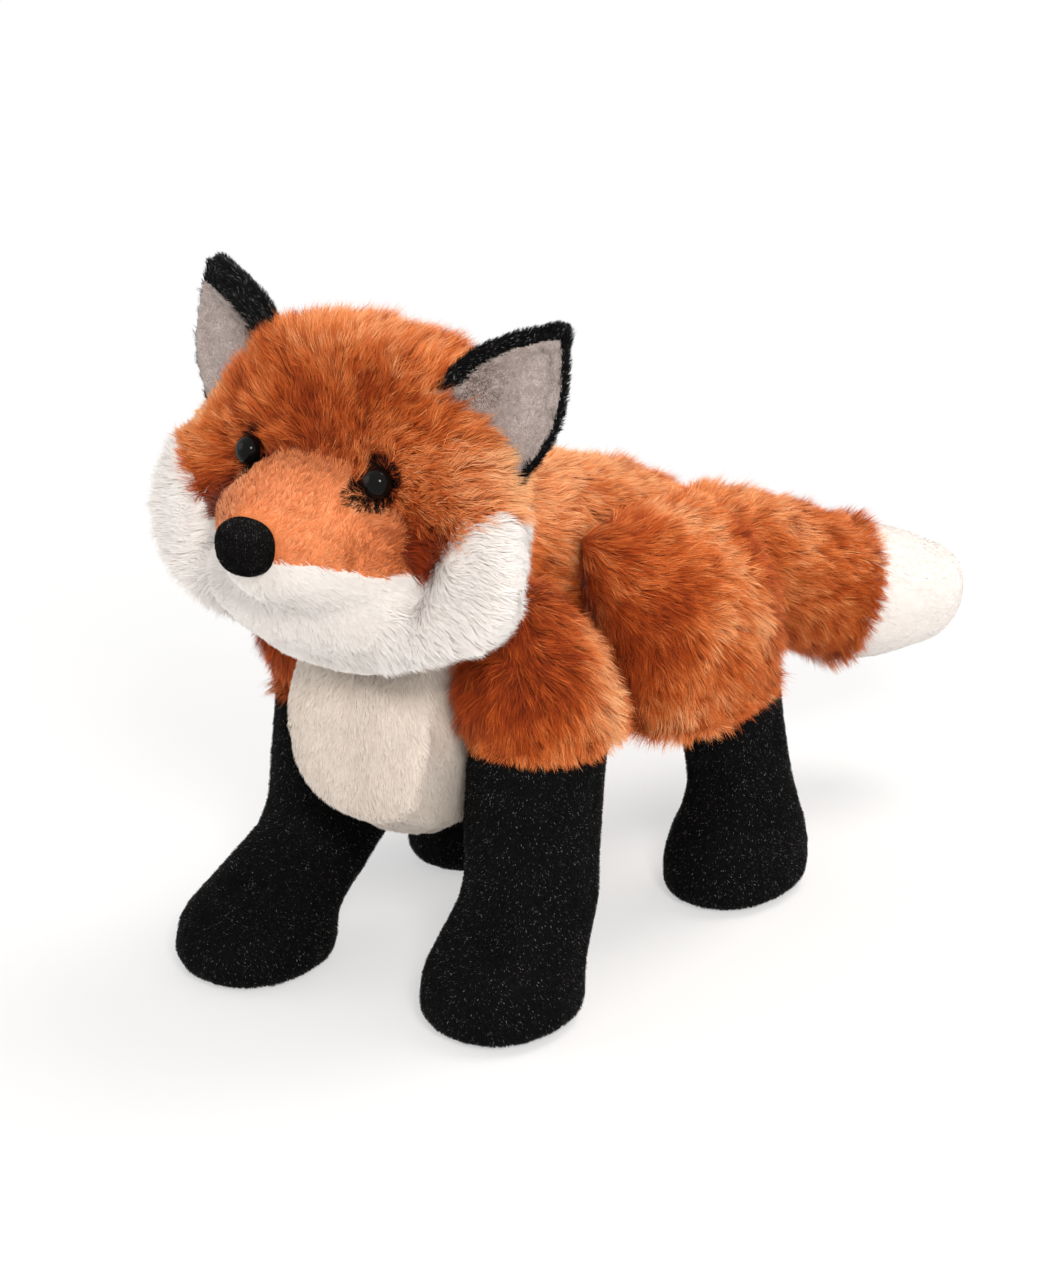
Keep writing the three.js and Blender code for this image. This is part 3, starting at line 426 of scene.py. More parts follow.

# Painted light and shade: where the plush is painted darker in creases, hollows and sides turned from the light,
# and lighter on tops and lit edges: a path in mm, alike on both sides, its reach and the change.
PAINTED_LIGHT_AND_SHADE = (
    (((4, -53, 201),), 15, -0.22),
    (((46, -55, 172),), 10, -0.56),
    (((38, -54, 181),), 8, -0.3),
    (((15, -47, 212),), 20, -0.1),
    (((42, -47, 202),), 13, -0.08),
    (((0, -20, 234),), 28, 0.26),
    (((68, -36, 196),), 19, 0.52),
    (((60, -10, 215),), 20, 0.24),
    (((41, -57, 171), (33, -63, 172)), 8, -0.28),
    (((49, -29, 121), (62, -20, 120)), 19, -0.48),
    (((47, -6, 145),), 16, -0.3),
    (((62, 13, 132), (70, 15, 118), (73, 10, 104)), 9, 0.55),
    (((72, 2, 114),), 9, 0.28),
    (((70, -14, 101),), 11, 0.16),
    (((52, 39, 126), (53, 41, 112), (47, 50, 92)), 7, -0.28),
    (((58, 48, 117),), 15, -0.32),
    (((46, 48, 150), (54, 58, 140)), 13, -0.22),
    (((44, 70, 154), (55, 84, 147), (67, 94, 124), (70, 98, 106)), 6, 0.42),
    (((50, 104, 144), (60, 112, 122), (58, 116, 106)), 8, -0.3),
    (((64, 62, 92),), 18, 0.14),
    (((20, 90, 160),), 24, 0.16),
    (((0, 20, 176), (0, 70, 168)), 34, 0.36),
    (((42, 28, 156),), 16, 0.22),
    (((50, 208, 92),), 12, -0.12),
    (((4, 150, 138), (20, 175, 126)), 16, 0.26),
)

# Where the plush is longer or shorter: a place in mm, its reach and the change as a share.
FILLS = (
    ((42, 24, 152), 13, 0.6),
    ((-42, 24, 152), 13, 0.6),
    ((-60, -47, 194), 15, -0.45),
    ((50, 230, 92), 34, -0.5),
)

# The hems of the leg plush: height above the ground in mm at the leg's axis, its place along the body
# and the tilt in degrees.
HEMS = {
    "front_left_sleeve": (97, 0, -6),
    "front_right_sleeve": (90, 0, -6),
    "hind_left_sleeve": (81, 84, 12),
    "hind_right_sleeve": (81, 84, 12),
}

# Where each eye and the nose sit, with how far out the pile is short and where it is full again.
FACE_SPOTS = {}

# Skins


def join_nodes(names):
    points, faces = [], []
    for name in names:
        mesh = NODES[name].data
        start = len(points)
        points.extend(tuple(v.co) for v in mesh.vertices)
        faces.extend([start + i for i in polygon.vertices] for polygon in mesh.polygons)
    mesh = bpy.data.meshes.new("joined")
    mesh.from_pydata(points, [], faces)
    return mesh


def modified(mesh, *steps):
    """The mesh after a row of modifiers, each given as a kind and its settings."""
    obj = link(bpy.data.objects.new("working", mesh))
    for kind, settings in steps:
        modifier = obj.modifiers.new(kind, kind)
        for key, value in settings.items():
            setattr(modifier, key, value)
    graph = bpy.context.evaluated_depsgraph_get()
    result = bpy.data.meshes.new_from_object(obj.evaluated_get(graph))
    bpy.data.objects.remove(obj)
    return result


def island_from(start, seen):
    """The vertices connected to one, which are marked as seen."""
    stack, island = [start], []
    seen[start.index] = True
    while stack:
        vert = stack.pop()
        island.append(vert)
        for edge in vert.link_edges:
            other = edge.other_vert(vert)
            if not seen[other.index]:
                seen[other.index] = True
                stack.append(other)
    return island


def largest_island(mesh):
    """Keep the outermost connected surface."""
    bm = bmesh.new()
    bm.from_mesh(mesh)
    seen = np.zeros(len(bm.verts), bool)
    best = []
    for start in bm.verts:
        if not seen[start.index]:
            best = max(best, island_from(start, seen), key=len)
    keep = set(best)
    bmesh.ops.delete(bm, geom=[v for v in bm.verts if v not in keep], context="VERTS")
    bm.to_mesh(mesh)
    bm.free()
    return mesh


SMOOTHING = 0.5


def soft_skin(names, voxel, rounds):
    """One smooth skin round several CAD nodes, from voxels of a size in mm."""
    steps = [
        ("REMESH", dict(mode="VOXEL", voxel_size=voxel * MM, adaptivity=0)),
        ("SMOOTH", dict(factor=SMOOTHING, iterations=rounds)),
    ]
    return largest_island(modified(join_nodes(names), *steps))


def spread_values(mesh, values, rounds):
    """Average values over neighbouring vertices."""
    pairs = rows_of(mesh.edges, "vertices", 2, np.int64)
    count = np.bincount(pairs.ravel(), minlength=len(values)).astype(float)
    for _ in range(rounds):
        total = np.bincount(pairs[:, 0], values[pairs[:, 1]], len(values))
        total += np.bincount(pairs[:, 1], values[pairs[:, 0]], len(values))
        values = (values + total / np.maximum(count, 1)) / 2
    return values


def nearest_nodes(points, tree, owners):
    return np.array([owners[tree.find_nearest(Vector(point))[2]] for point in points])


SEAM_JITTER, LONG_JITTER = 0.6 * MM, 0.9 * MM
WANDER, WANDER_LENGTH = 3.2, 11 * MM


def mixed_owners(points, tree, owners, rng):
    """The node that each strand belongs to, with an uneven edge where two long piles meet."""
    crisp = nearest_nodes(points + rng.normal(0, SEAM_JITTER, points.shape), tree, owners)
    wander = waves(points, WANDER_LENGTH, SEAM_SEED) * WANDER * MM
    wander += rng.normal(0, LONG_JITTER, points.shape)
    rough = nearest_nodes(points + wander, tree, owners)
    is_long = {name: zone_of(name).length > LONG_PILE for name in set(owners)}
    both = np.array([is_long[a] and is_long[b] for a, b in zip(crisp, rough)])
    return np.where(both, rough, crisp)


def folded(points, normals, body):
    """Move points in or out along the folds of a body."""
    mirrored = mirrored_mm(points)
    lift = np.zeros(len(points))
    for path, height, reach in FOLDS.get(body, ()):
        lift += height * bell(distance_to_path(mirrored, path), reach)
    if body.endswith("leg"):
        lift += FOOT_SWELL * (1 - smoothstep(mirrored[:, 2], *FOOT_LEVELS))
    return points + normals * (lift * MM)[:, None]


def finish_piece(obj, body):
    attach(obj, body)


def cut_skin(skin, node, names):
    """The part of a skin that belongs to a node, by the node that each face's corners are nearest."""
    bm = bmesh.new()
    bm.from_mesh(skin)
    others = []
    for face in bm.faces:
        owners = sorted(names[v.index] for v in face.verts)
        if owners[len(owners) // 2] != node:
            others.append(face)
    bmesh.ops.delete(bm, geom=others, context="FACES")
    mesh = bpy.data.meshes.new(f"{node}_skin")
    bm.to_mesh(mesh)
    bm.free()
    return mesh


def add_skin(node, body, mesh):
    smooth_shaded(mesh)
    obj = link(bpy.data.objects.new(f"{node}_skin", mesh))
    mesh.materials.append(MATERIALS[zone_of(node).look][0])
    finish_piece(obj, body)
    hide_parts(node)


# The comb of the pile

# The way each pile is combed: out to its side, backwards and up.
COMBS = {
    "crown_panel": (0.15, 0.35, -0.2),
    "cheek_panel": (0.15, 0.35, -0.2),
    "chin_panel": (0.15, 0.35, -0.2),
    "muzzle_top": (0.0, 1.0, 0.75),
    "eye_patch": (0.0, 0.1, 0.15),
    "belly_panel": (0.2, 0.25, -1.0),
    "back_panel": (0.3, 1.0, -0.35),
    "boot": (0.0, 0.2, -1.0),
    "hind": (0.1, 0.3, -1.0),
    "front": (0.1, 0.12, -1.0),
    "tail": (0.0, 0.0, -0.25),
    "nose": (0.0, 0.2, 1.0),
}

# The long pile of the head also runs away from the bridge of the muzzle, more slowly backwards.
BRIDGE = np.array([0.0, -74.0, 178.0])
BRIDGE_SHARES = np.array([1.0, 0.7, 1.0])
MUZZLE_FAN, FLANK_FALL = 0.01, 0.01

# Between two levels the haunch's pile turns from hanging to lying back, and outwards at its front.
HAUNCH_LEVELS, HAUNCH_FRONT = (100, 148), (36, 52)
HAUNCH_TURN = np.array([0.0, 0.9, 0.55])
HAUNCH_FRONT_TURN = np.array([1.3, 0.0, 0.3])

TAIL_ROOT = np.array(JOINTS["tail_lift"]["pos_m"])
tip_low, tip_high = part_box("tail_tip")
TAIL_END = np.array((tip_low + tip_high) / 2)


def is_haunch(node):
    return node.startswith("hind") and "sleeve" in node


def comb(node, points):
    """The way the pile is combed at each point, before it is laid along the surface."""
    place = local_mm(points)
    x, y, z = place.T
    outwards = np.stack([np.sign(x), np.ones_like(x), np.ones_like(x)], 1)
    flow = outwards * next(way for key, way in COMBS.items() if key in node)
    if node.startswith(("crown", "cheek", "chin")):
        flow += unit((place - BRIDGE) * BRIDGE_SHARES)
    elif node == "muzzle_top":
        flow[:, 0] += MUZZLE_FAN * x
    elif node.startswith("eye_patch"):
        centre = FACE_SPOTS[node.replace("eye_patch", "eye")][0]
        flow += unit(place - local_mm(np.array(centre)))
    elif node.startswith("back_panel"):
        flow[:, 2] -= FLANK_FALL * np.abs(x)
    elif is_haunch(node):
        upper = smoothstep(z, *HAUNCH_LEVELS)
        ahead = upper * (1 - smoothstep(y, *HAUNCH_FRONT))
        turn = upper[:, None] * HAUNCH_TURN + ahead[:, None] * HAUNCH_FRONT_TURN
        flow += outwards * turn
    elif node.startswith("tail"):
        flow += unit(TAIL_END - TAIL_ROOT)
    return flow


FACE_LENGTH = 0.3
FACE_COMB, FACE_COMB_REACH = 1.2, 1.3


def length_near_face(points):
    """How long the pile is near the eyes and the nose, as a share of its full length."""
    share = np.ones(len(points))
    for centre, clear, reach in FACE_SPOTS.values():
        away = np.linalg.norm(points - np.array(centre), axis=1)
        share *= FACE_LENGTH + (1 - FACE_LENGTH) * smoothstep(away, clear, reach)
    return share


def comb_round_face(points, flow):
    """Turn the comb outwards round the eyes and the nose."""
    flow = unit(flow)
    for centre, clear, reach in FACE_SPOTS.values():
        off = points - np.array(centre)
        away = np.linalg.norm(off, axis=1)
        weight = 1 - smoothstep(away, clear, reach * FACE_COMB_REACH)
        flow = flow + unit(off) * (FACE_COMB * weight)[:, None]
    return flow


# Strands


def sample_surface(mesh, density_at, rng):
    """Random points on a mesh, as many per area as density_at asks for each triangle."""
    mesh.calc_loop_triangles()
    corners = rows_of(mesh.loop_triangles, "vertices", 3, np.int64)
    places, normals = coords(mesh), vertex_normals(mesh)
    a, b, c = (places[corners[:, i]] for i in range(3))
    area = np.linalg.norm(np.cross(b - a, c - a), axis=1) / 2
    wanted = area / MM**2 * density_at[corners].mean(1)
    total = int(wanted.sum())
    picks = np.searchsorted(np.cumsum(wanted), rng.uniform(0, wanted.sum(), total))
    picks = np.minimum(picks, len(corners) - 1)
    u, v = rng.random(total), rng.random(total)
    over = u + v > 1
    u[over], v[over] = 1 - u[over], 1 - v[over]
    weights = np.stack([1 - u - v, u, v], 1)[:, :, None]
    spots = (places[corners[picks]] * weights).sum(1)
    return spots, unit((normals[corners[picks]] * weights).sum(1))


def light_and_shade_at(points):
    """How much the plush is painted darker or lighter at each point, as painted light and shade."""
    place = mirrored_mm(points)
    painted = np.zeros(len(points))
    for path, reach, change in PAINTED_LIGHT_AND_SHADE:
        painted += change * bell(distance_to_path(place, path), reach)
    return painted


def fill_at(points):
    """How long the plush is at each point, as a share of its usual length."""
    place = local_mm(points)
    share = np.ones(len(points))
    for centre, reach, change in FILLS:
        share += change * bell(np.linalg.norm(place - np.array(centre), axis=1), reach)
    return share


def locks(roots, size, rng):
    """Group strands into locks of about so many, each round a chosen strand."""
    count = len(roots)
    total = max(1, count // size)
    chosen = rng.choice(count, total, replace=False)
    tree = KDTree(total)
    for i, index in enumerate(chosen):
        tree.insert(Vector(roots[index]), i)
    tree.balance()
    mine = np.array([tree.find(Vector(root))[1] for root in roots])
    return chosen, mine


HEM_FRINGE = (1.0, 4.5)
HEM_LEAST = 0.3


def hem_share(node, points, rng):
    """How much of each strand is left, where it would hang too far below its hem."""
    height, place, tilt = HEMS[node]
    tilt = math.radians(tilt)
    up = np.array([0, -math.sin(tilt), math.cos(tilt)])
    above = (local_mm(points.reshape(-1, 3)) - np.array([0, place, height])) @ up
    above = above.reshape(points.shape[:2])
    root, tip = above[:, 0], above[:, -1]
    fringe = rng.uniform(*HEM_FRINGE, len(root))
    share = (root + fringe) / np.maximum(root - tip, TINY)
    return np.where(tip < -fringe, np.clip(share, HEM_LEAST, 1), 1)


# A strand's bends as shares of its length, its width there, and how many strands make a lock or a tuft.
STEPS = np.array([0.0, 0.55, 1.0])
WIDTHS = np.array([1.0, 0.85, 0.0])
LOCK_SIZE, TUFT_SIZE = 16, 120
STRAND_LENGTHS, LOCK_LENGTHS = (0.72, 1.12), (-0.12, 0.1)
STRAND_WIDTHS = (0.75, 1.25)

# Swirls of the comb and waves of the rust shade: their size, their strength and what their seed adds.
SWIRLS = ((30 * MM, 0.55, 5), (11 * MM, 0.35, 6))
SWIRL_STRENGTH = 2
RUST_WAVES = ((45 * MM, 0.13, 9), (14 * MM, 0.08, 8))

# How far strands and locks stray from their comb, a tuft as a share of a lock, and how many degrees
# each strays from its lean.
STRAND_STRAY, LOCK_STRAY, TUFT_STRAY = 0.16, 0.2, 0.8
STRAND_LEAN, LOCK_LEAN, TUFT_LEAN = 8, 6, 8
LEAN_LIMITS = (15, 82)
BEND, BEND_MIDDLE = 26, 0.45
PULL_POWER, PULLS, PULL_LIMIT = 1.5, (0.5, 1.3), 0.95
PILE_FLOOR, SKIN_FLOOR = 0.25 * MM, 0.2 * MM
BLADE_TURN = 0.35

# The haunch's pile is shorter and lies closer where it faces the front.
HAUNCH_FACING, HAUNCH_TOP = (0.2, 0.8), (115, 140)
HAUNCH_SHORTER, HAUNCH_LEAN = 0.2, 12


def grow(node, roots, normals, flow, rng, length_share):
    """The points along each strand, from root to tip, with its lock and its tuft."""
    kind, count = zone_of(node), len(roots)
    unrest = kind.unrest
    length = kind.length * MM * rng.uniform(*STRAND_LENGTHS, count) * length_share
    swirl = sum(waves(roots, size, SEED + seed) * strength for size, strength, seed in SWIRLS)
    flow = unit(flow) + swirl * kind.curl * SWIRL_STRENGTH
    flow += rng.normal(0, STRAND_STRAY * unrest, (count, 3))
    tangent = along_surface(flow, normals)

    chosen, lock = locks(roots, LOCK_SIZE, rng)
    _, tuft = locks(roots, TUFT_SIZE, rng)
    lean = kind.lean + rng.normal(0, STRAND_LEAN * unrest, count)
    lean += rng.normal(0, LOCK_LEAN * unrest, count)[lock] + rng.normal(0, TUFT_LEAN * unrest, count)[tuft]
    way = rng.normal(0, LOCK_STRAY * unrest, (count, 3))
    if is_haunch(node):
        top = smoothstep(local_mm(roots)[:, 2], *HAUNCH_TOP)
        ahead = smoothstep(-normals[:, 1], *HAUNCH_FACING) * top
        length *= 1 - HAUNCH_SHORTER * ahead
        lean += HAUNCH_LEAN * ahead
    length *= (1 + unrest * rng.uniform(*LOCK_LENGTHS, count)[lock]) * fill_at(roots)
    tangent = unit(tangent + way[lock] + TUFT_STRAY * way[::-1][tuft])
    tangent = along_surface(tangent, normals)

    lean = np.radians(np.clip(lean, *LEAN_LIMITS))
    points = np.empty((count, len(STEPS), 3))
    points[:, 0] = roots
    for i in range(1, len(STEPS)):
        bend = lean + np.radians(BEND) * (STEPS[i] - BEND_MIDDLE)
        step = normals * np.cos(bend)[:, None] + tangent * np.sin(bend)[:, None]
        points[:, i] = points[:, i - 1] + step * (length * (STEPS[i] - STEPS[i - 1]))[:, None]
    pull = kind.clump * (STEPS[None, :] ** PULL_POWER) * rng.uniform(*PULLS, count)[:, None]
    points += (points[chosen][lock] - points) * np.clip(pull, 0, PULL_LIMIT)[:, :, None]
    if node in HEMS:
        left_over = hem_share(node, points, rng)
        points = points[:, :1] + (points - points[:, :1]) * left_over[:, None, None]
    points[:, :, 2] = np.maximum(points[:, :, 2], PILE_FLOOR)
    return points, lock, tuft


# A strand is a ribbon of quads that ends in a triangle: its corners on the left, on the right and last.
ROWS = len(STEPS) - 1
CORNERS = 2 * ROWS + 1
LEFT, RIGHT = slice(0, 2 * ROWS, 2), slice(1, 2 * ROWS, 2)
FACES = [[2 * i, 2 * i + 1, 2 * i + 3, 2 * i + 2] for i in range(ROWS - 1)]
FACES.append([2 * ROWS - 2, 2 * ROWS - 1, 2 * ROWS])


def ribbons(name, points, across, half):
    """A mesh of all the strands, with the corners that its faces use."""
    count = len(points)
    sideways = across[:, None] * (half[:, None] * WIDTHS[None, :-1])[..., None]
    verts = np.empty((count, CORNERS, 3), np.float32)
    verts[:, LEFT] = points[:, :-1] - sideways
    verts[:, RIGHT] = points[:, :-1] + sideways
    verts[:, -1] = points[:, -1]
    corners = (np.arange(count)[:, None] * CORNERS + np.concatenate(FACES)).ravel()
    sizes = np.tile([len(face) for face in FACES], count)
    starts = np.cumsum(sizes) - sizes
    mesh = bpy.data.meshes.new(name)
    mesh.vertices.add(count * CORNERS)
    mesh.vertices.foreach_set("co", verts.ravel())
    mesh.loops.add(len(corners))
    mesh.loops.foreach_set("vertex_index", corners.astype(np.int32))
    mesh.polygons.add(len(sizes))
    mesh.polygons.foreach_set("loop_start", starts.astype(np.int32))
    mesh.update(calc_edges=True)
    return mesh, corners


SHADE_MIDDLE, STRAND_SHADE, LOCK_SHADE, TUFT_SHADE = 0.52, 0.13, 0.1, 0.06
SHADE_LIMITS = (0.02, 0.98)
SHADE_HALF, MAP_MARGIN = 0.006, 0.01
EVEN_LOOKS = ("velvet", "black", "patch")


def shades(roots, look, lock, tuft, rng, change):
    """How light each strand is, between 0 and 1, the first strand darkest and the last one lightest."""
    count = len(roots)
    shade = SHADE_MIDDLE + rng.normal(0, STRAND_SHADE, count)
    if look not in EVEN_LOOKS:
        shade += rng.normal(0, LOCK_SHADE, count)[lock] + rng.normal(0, TUFT_SHADE, count)[tuft]
    # The rust plush gets its painted light and shade here.
    if look in ("rust", "short_rust"):
        shade += light_and_shade_at(roots)
    if look == "rust":
        for size, strength, seed in RUST_WAVES:
            shade += strength * waves(roots, size, SEED + seed, 1)[:, 0]
    shade = np.clip(shade + change, *SHADE_LIMITS)
    shade[0], shade[-1] = SHADE_LIMITS
    return shade


def map_strands(mesh, corners, shade):
    """The OFBake map: each strand's shade along u, and root to tip along v."""
    uv = np.empty((len(shade), CORNERS, 2), np.float32)
    for rows, offset in ((LEFT, -SHADE_HALF), (RIGHT, SHADE_HALF)):
        uv[:, rows, 0] = (shade + offset)[:, None]
        uv[:, rows, 1] = STEPS[None, :-1]
    uv[:, -1, 0] = shade
    uv[:, -1, 1] = 1
    uv[:, :, 1] = MAP_MARGIN + (1 - 2 * MAP_MARGIN) * uv[:, :, 1]
    layer = mesh.uv_layers.new(name="OFBake", do_init=False)
    layer.data.foreach_set("uv", uv.reshape(-1, 2)[corners].ravel())


def strand_mesh(node, roots, normals, flow, rng, length_share, shade_change):
    """Tapered, curving strands as a mesh, shaded mostly as the surface that they stand on."""
    kind = zone_of(node)
    points, lock, tuft = grow(node, roots, normals, flow, rng, length_share)
    along = unit(points[:, -1] - points[:, 0])
    across = np.cross(along, normals)
    across = unit(across + rng.normal(0, BLADE_TURN, across.shape))
    half = kind.width * MM / 2 * rng.uniform(*STRAND_WIDTHS, len(roots))
    mesh, corners = ribbons(f"{node}_pile", points, across, half)
    map_strands(mesh, corners, shades(roots, kind.look, lock, tuft, rng, shade_change))
    facing = unit(np.cross(across, along))
    facing *= np.sign((facing * normals).sum(1, keepdims=True))
    soft = unit(kind.soft * normals + (1 - kind.soft) * facing)
    mesh.normals_split_custom_set_from_vertices(np.repeat(soft, CORNERS, 0).astype(np.float32))
    return mesh


def add_pile(node, body, roots, normals, flow, rng, length_share=1, shade_change=0):
    mesh = strand_mesh(node, roots, normals, flow, rng, length_share, shade_change)
    obj = link(bpy.data.objects.new(f"{node}_pile", mesh))
    mesh.materials.append(MATERIALS[zone_of(node).look][1])
    finish_piece(obj, body)
    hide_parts(node)


# The dress of a body

# The black patches: their middle from the eye's, how they are drawn out, their reach and their edge.
PATCH_SHIFT = np.array([1.5, 0, 0.2]) * MM
PATCH_SHARES = np.array([1.16, 0.6, 1.0])
PATCH_REACH, PATCH_EDGE = 8.3 * MM, 0.5 * MM
PATCH_SHORTEST = 0.55

# The right cheek's white behind a slanting line and under a level that falls towards the back, in mm.
WHITE_OUT, WHITE_LEVEL, WHITE_SLANT = -50, 170, 0.68
WHITE_TOP, WHITE_BACK, WHITE_FALL = 187, -42, 1.2

# A strand's node is the nearest one to a place so far out, and it needs so much room to other bodies.
NODE_REACH, ROOM = 3 * MM, 2.5 * MM
FEWEST_STRANDS = 20
INSET_ROUNDS = 3


def over_cheek(points, owner):
    """Where the white of the right cheek stands up over the lower edge of the crown."""
    x, y, z = local_mm(points).T
    outside = x < WHITE_OUT - WHITE_SLANT * (z - WHITE_LEVEL)
    below = z < WHITE_TOP - WHITE_FALL * np.maximum(0, y - WHITE_BACK)
    return (owner == "crown_panel") & outside & below


def face_owners(spots, owner, rng):
    """Give the strands round the eyes to their patches, and some of the crown's to the right cheek."""
    for side, name in SIDES:
        middle = np.array(FACE_SPOTS[f"eye_{name}"][0]) - PATCH_SHIFT * np.array([side, 1, 1])
        away = np.linalg.norm((spots - middle) * PATCH_SHARES, axis=1)
        away += rng.normal(0, PATCH_EDGE, len(spots))
        owner[away < PATCH_REACH] = f"eye_patch_{name}"
    owner[over_cheek(spots, owner)] = "cheek_panel_right"


def sink_skin(skin, names, body):
    """Draw the skin in to leave room for its pile, and fold it."""
    inset = spread_values(skin, np.array([zone_of(n).inset for n in names]), INSET_ROUNDS)
    ups = vertex_normals(skin)
    moved = folded(coords(skin) - ups * (inset * MM)[:, None], ups, body)
    moved[:, 2] = np.maximum(moved[:, 2], SKIN_FLOOR)
    set_coords(skin, moved)


def dress(body, skin, skinned, rng):
    """Skin and pile for one body, one piece of each to a CAD node."""
    tree, owners = tree_of(skinned)
    blocking, _ = tree_of([n for b, names in BODIES.items() if b != body for n in names])
    names = nearest_nodes(coords(skin), tree, owners)
    sink_skin(skin, names, body)
    spots, normals = sample_surface(skin, np.array([zone_of(n).density for n in names]), rng)
    owner = mixed_owners(spots + normals * NODE_REACH, tree, owners, rng)
    rays = ((Vector(s), Vector(n)) for s, n in zip(spots, normals))
    free = np.array([blocking.ray_cast(s, n, ROOM)[0] is None for s, n in rays])
    if body == "head":
        face_owners(spots, owner, rng)
    for node in sorted(set(names)):
        mesh = cut_skin(skin, node, names)
        if mesh.polygons:
            add_skin(node, body, mesh)
    for node in sorted(set(owner)):
        chosen = (owner == node) & free
        if chosen.sum() < FEWEST_STRANDS:
            continue
        roots, up = spots[chosen], normals[chosen]
        flow, share = comb(node, roots), 1
        if "eye_patch" in node:
            share = PATCH_SHORTEST + (1 - PATCH_SHORTEST) * rng.random(len(roots))
        elif body == "head":
            flow = comb_round_face(roots, flow)
            share = length_near_face(roots)
        add_pile(node, body, roots, up, flow, rng, share)


# Eyes and nose

DOME_RINGS, DOME_SIDES, DOME_SKIRT = 24, 64, 1.5 * MM
EYE_RADIUS, EYE_DOME, EYE_TURN, EYE_LIFT = 5.0 * MM, 4.4 * MM, 20, 10
EYE_CLEAR, EYE_REACH = 5.5 * MM, 10.5 * MM
NOSE_RADIUS, NOSE_DOME, NOSE_STRETCH = 8.9 * MM, 9.0 * MM, 1.14
NOSE_FORM = dict(power=2.4, square=2.5, taper=0.12)
NOSE_CLEAR, NOSE_REACH = 9.0 * MM, 16.0 * MM
NOSE_WAY, NOSE_FACING = Vector((0, -1, 0)), 0.3


def apex_of(node, way):
    points = coords(NODES[node].data)
    return points[np.argmax(points @ np.array(way))]


def dome_profile(power, height):
    """How far out and how high each ring of a dome stands, from the skirt to near the top."""
    profile = [(1.0, -DOME_SKIRT / height)]
    for ring in range(DOME_RINGS):
        angle = math.pi / 2 * ring / DOME_RINGS
        profile.append((math.cos(angle) ** (2 / power), math.sin(angle) ** (2 / power)))
    return profile


def dome(name, centre, way, radius, height, stretch, power=2.0, square=2.0, taper=0.0):
    """A smooth dome with a short skirt behind it, round the given way, wider above by the taper."""
    way = Vector(way).normalized()
    across = Vector((0, 0, 1)).cross(way).normalized()
    up = way.cross(across)
    verts, faces = [], []
    profile = dome_profile(power, height)
    for out, lift in profile:
        for s in range(DOME_SIDES):
            turn = 2 * math.pi * s / DOME_SIDES
            along, above = math.cos(turn), math.sin(turn)
            reach = out * radius * (abs(along) ** square + abs(above) ** square) ** (-1 / square)
            point = centre + way * (lift * height)
            point += across * (along * reach * stretch * (1 + taper * above))
            point += up * (above * reach)
            verts.append(point)
    top = len(verts)
    verts.append(centre + way * height)
    for ring in range(len(profile) - 1):
        low, high = ring * DOME_SIDES, (ring + 1) * DOME_SIDES
        for s in range(DOME_SIDES):
            n = (s + 1) % DOME_SIDES
            faces.append((low + s, low + n, high + n, high + s))
    last = (len(profile) - 1) * DOME_SIDES
    faces += [(last + s, last + (s + 1) % DOME_SIDES, top) for s in range(DOME_SIDES)]
    faces.append(tuple(reversed(range(DOME_SIDES))))
    mesh = bpy.data.meshes.new(name)
    mesh.from_pydata([tuple(v) for v in verts], [], faces)
    bm = bmesh.new()
    bm.from_mesh(mesh)
    bmesh.ops.recalc_face_normals(bm, faces=bm.faces)
    bm.to_mesh(mesh)
    bm.free()
    smooth_shaded(mesh)
    return link(bpy.data.objects.new(name, mesh))


def add_eye(side, name):
    turn, lift = math.radians(EYE_TURN), math.radians(EYE_LIFT)
    level = math.cos(lift)
    way = Vector((side * math.sin(turn) * level, -math.cos(turn) * level, math.sin(lift)))
    node = f"eye_{name}"
    centre = Vector(apex_of(node, way)) - way * EYE_DOME
    eye = dome(f"{node}_dome", centre, way, EYE_RADIUS, EYE_DOME, 1.0)
    eye.data.materials.append(EYE_GLOSS)
    finish_piece(eye, "head")
    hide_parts(node, f"{node}_washer")
    FACE_SPOTS[node] = (centre, EYE_CLEAR, EYE_REACH)


def add_nose():
    centre = Vector(apex_of("nose", NOSE_WAY)) - NOSE_WAY * NOSE_DOME
    nose = dome("nose_form", centre, NOSE_WAY, NOSE_RADIUS, NOSE_DOME, NOSE_STRETCH, **NOSE_FORM)
    nose.data.materials.append(NOSE_FLOCK)
    finish_piece(nose, "head")
    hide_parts("nose", "nose_washer")
    FACE_SPOTS["nose"] = (centre, NOSE_CLEAR, NOSE_REACH)
    rng = np.random.default_rng(NOSE_SEED)
    density = np.full(len(nose.data.vertices), zone_of("nose").density)
    spots, ups = sample_surface(nose.data, density, rng)
    in_front = ups[:, 1] < NOSE_FACING
    spots, ups = spots[in_front], ups[in_front]
    add_pile("nose", "head", spots, ups, comb("nose", spots), rng)


for side, name in SIDES:
    add_eye(side, name)
add_nose()

# The bodies: for each, the voxels in mm and the rounds of smoothing of its skin

PLAIN = ("stuffing", "washer", "eye", "nose", "ear_")
VOXELS = {"head": (2.0, 14), "torso": (2.2, 10), "tail": (2.0, 14)}
LEG_VOXELS = (1.6, 12)

for number, (body, names) in enumerate(BODIES.items(), 1):
    shown = [n for n in names if not any(word in n for word in PLAIN)]
    stuffing = [n for n in names if "stuffing" in n]
    skin = soft_skin(shown + stuffing, *VOXELS.get(body, LEG_VOXELS))
    dress(body, skin, shown, np.random.default_rng(SEED + number * len(body)))
    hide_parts(*stuffing)

# Ears

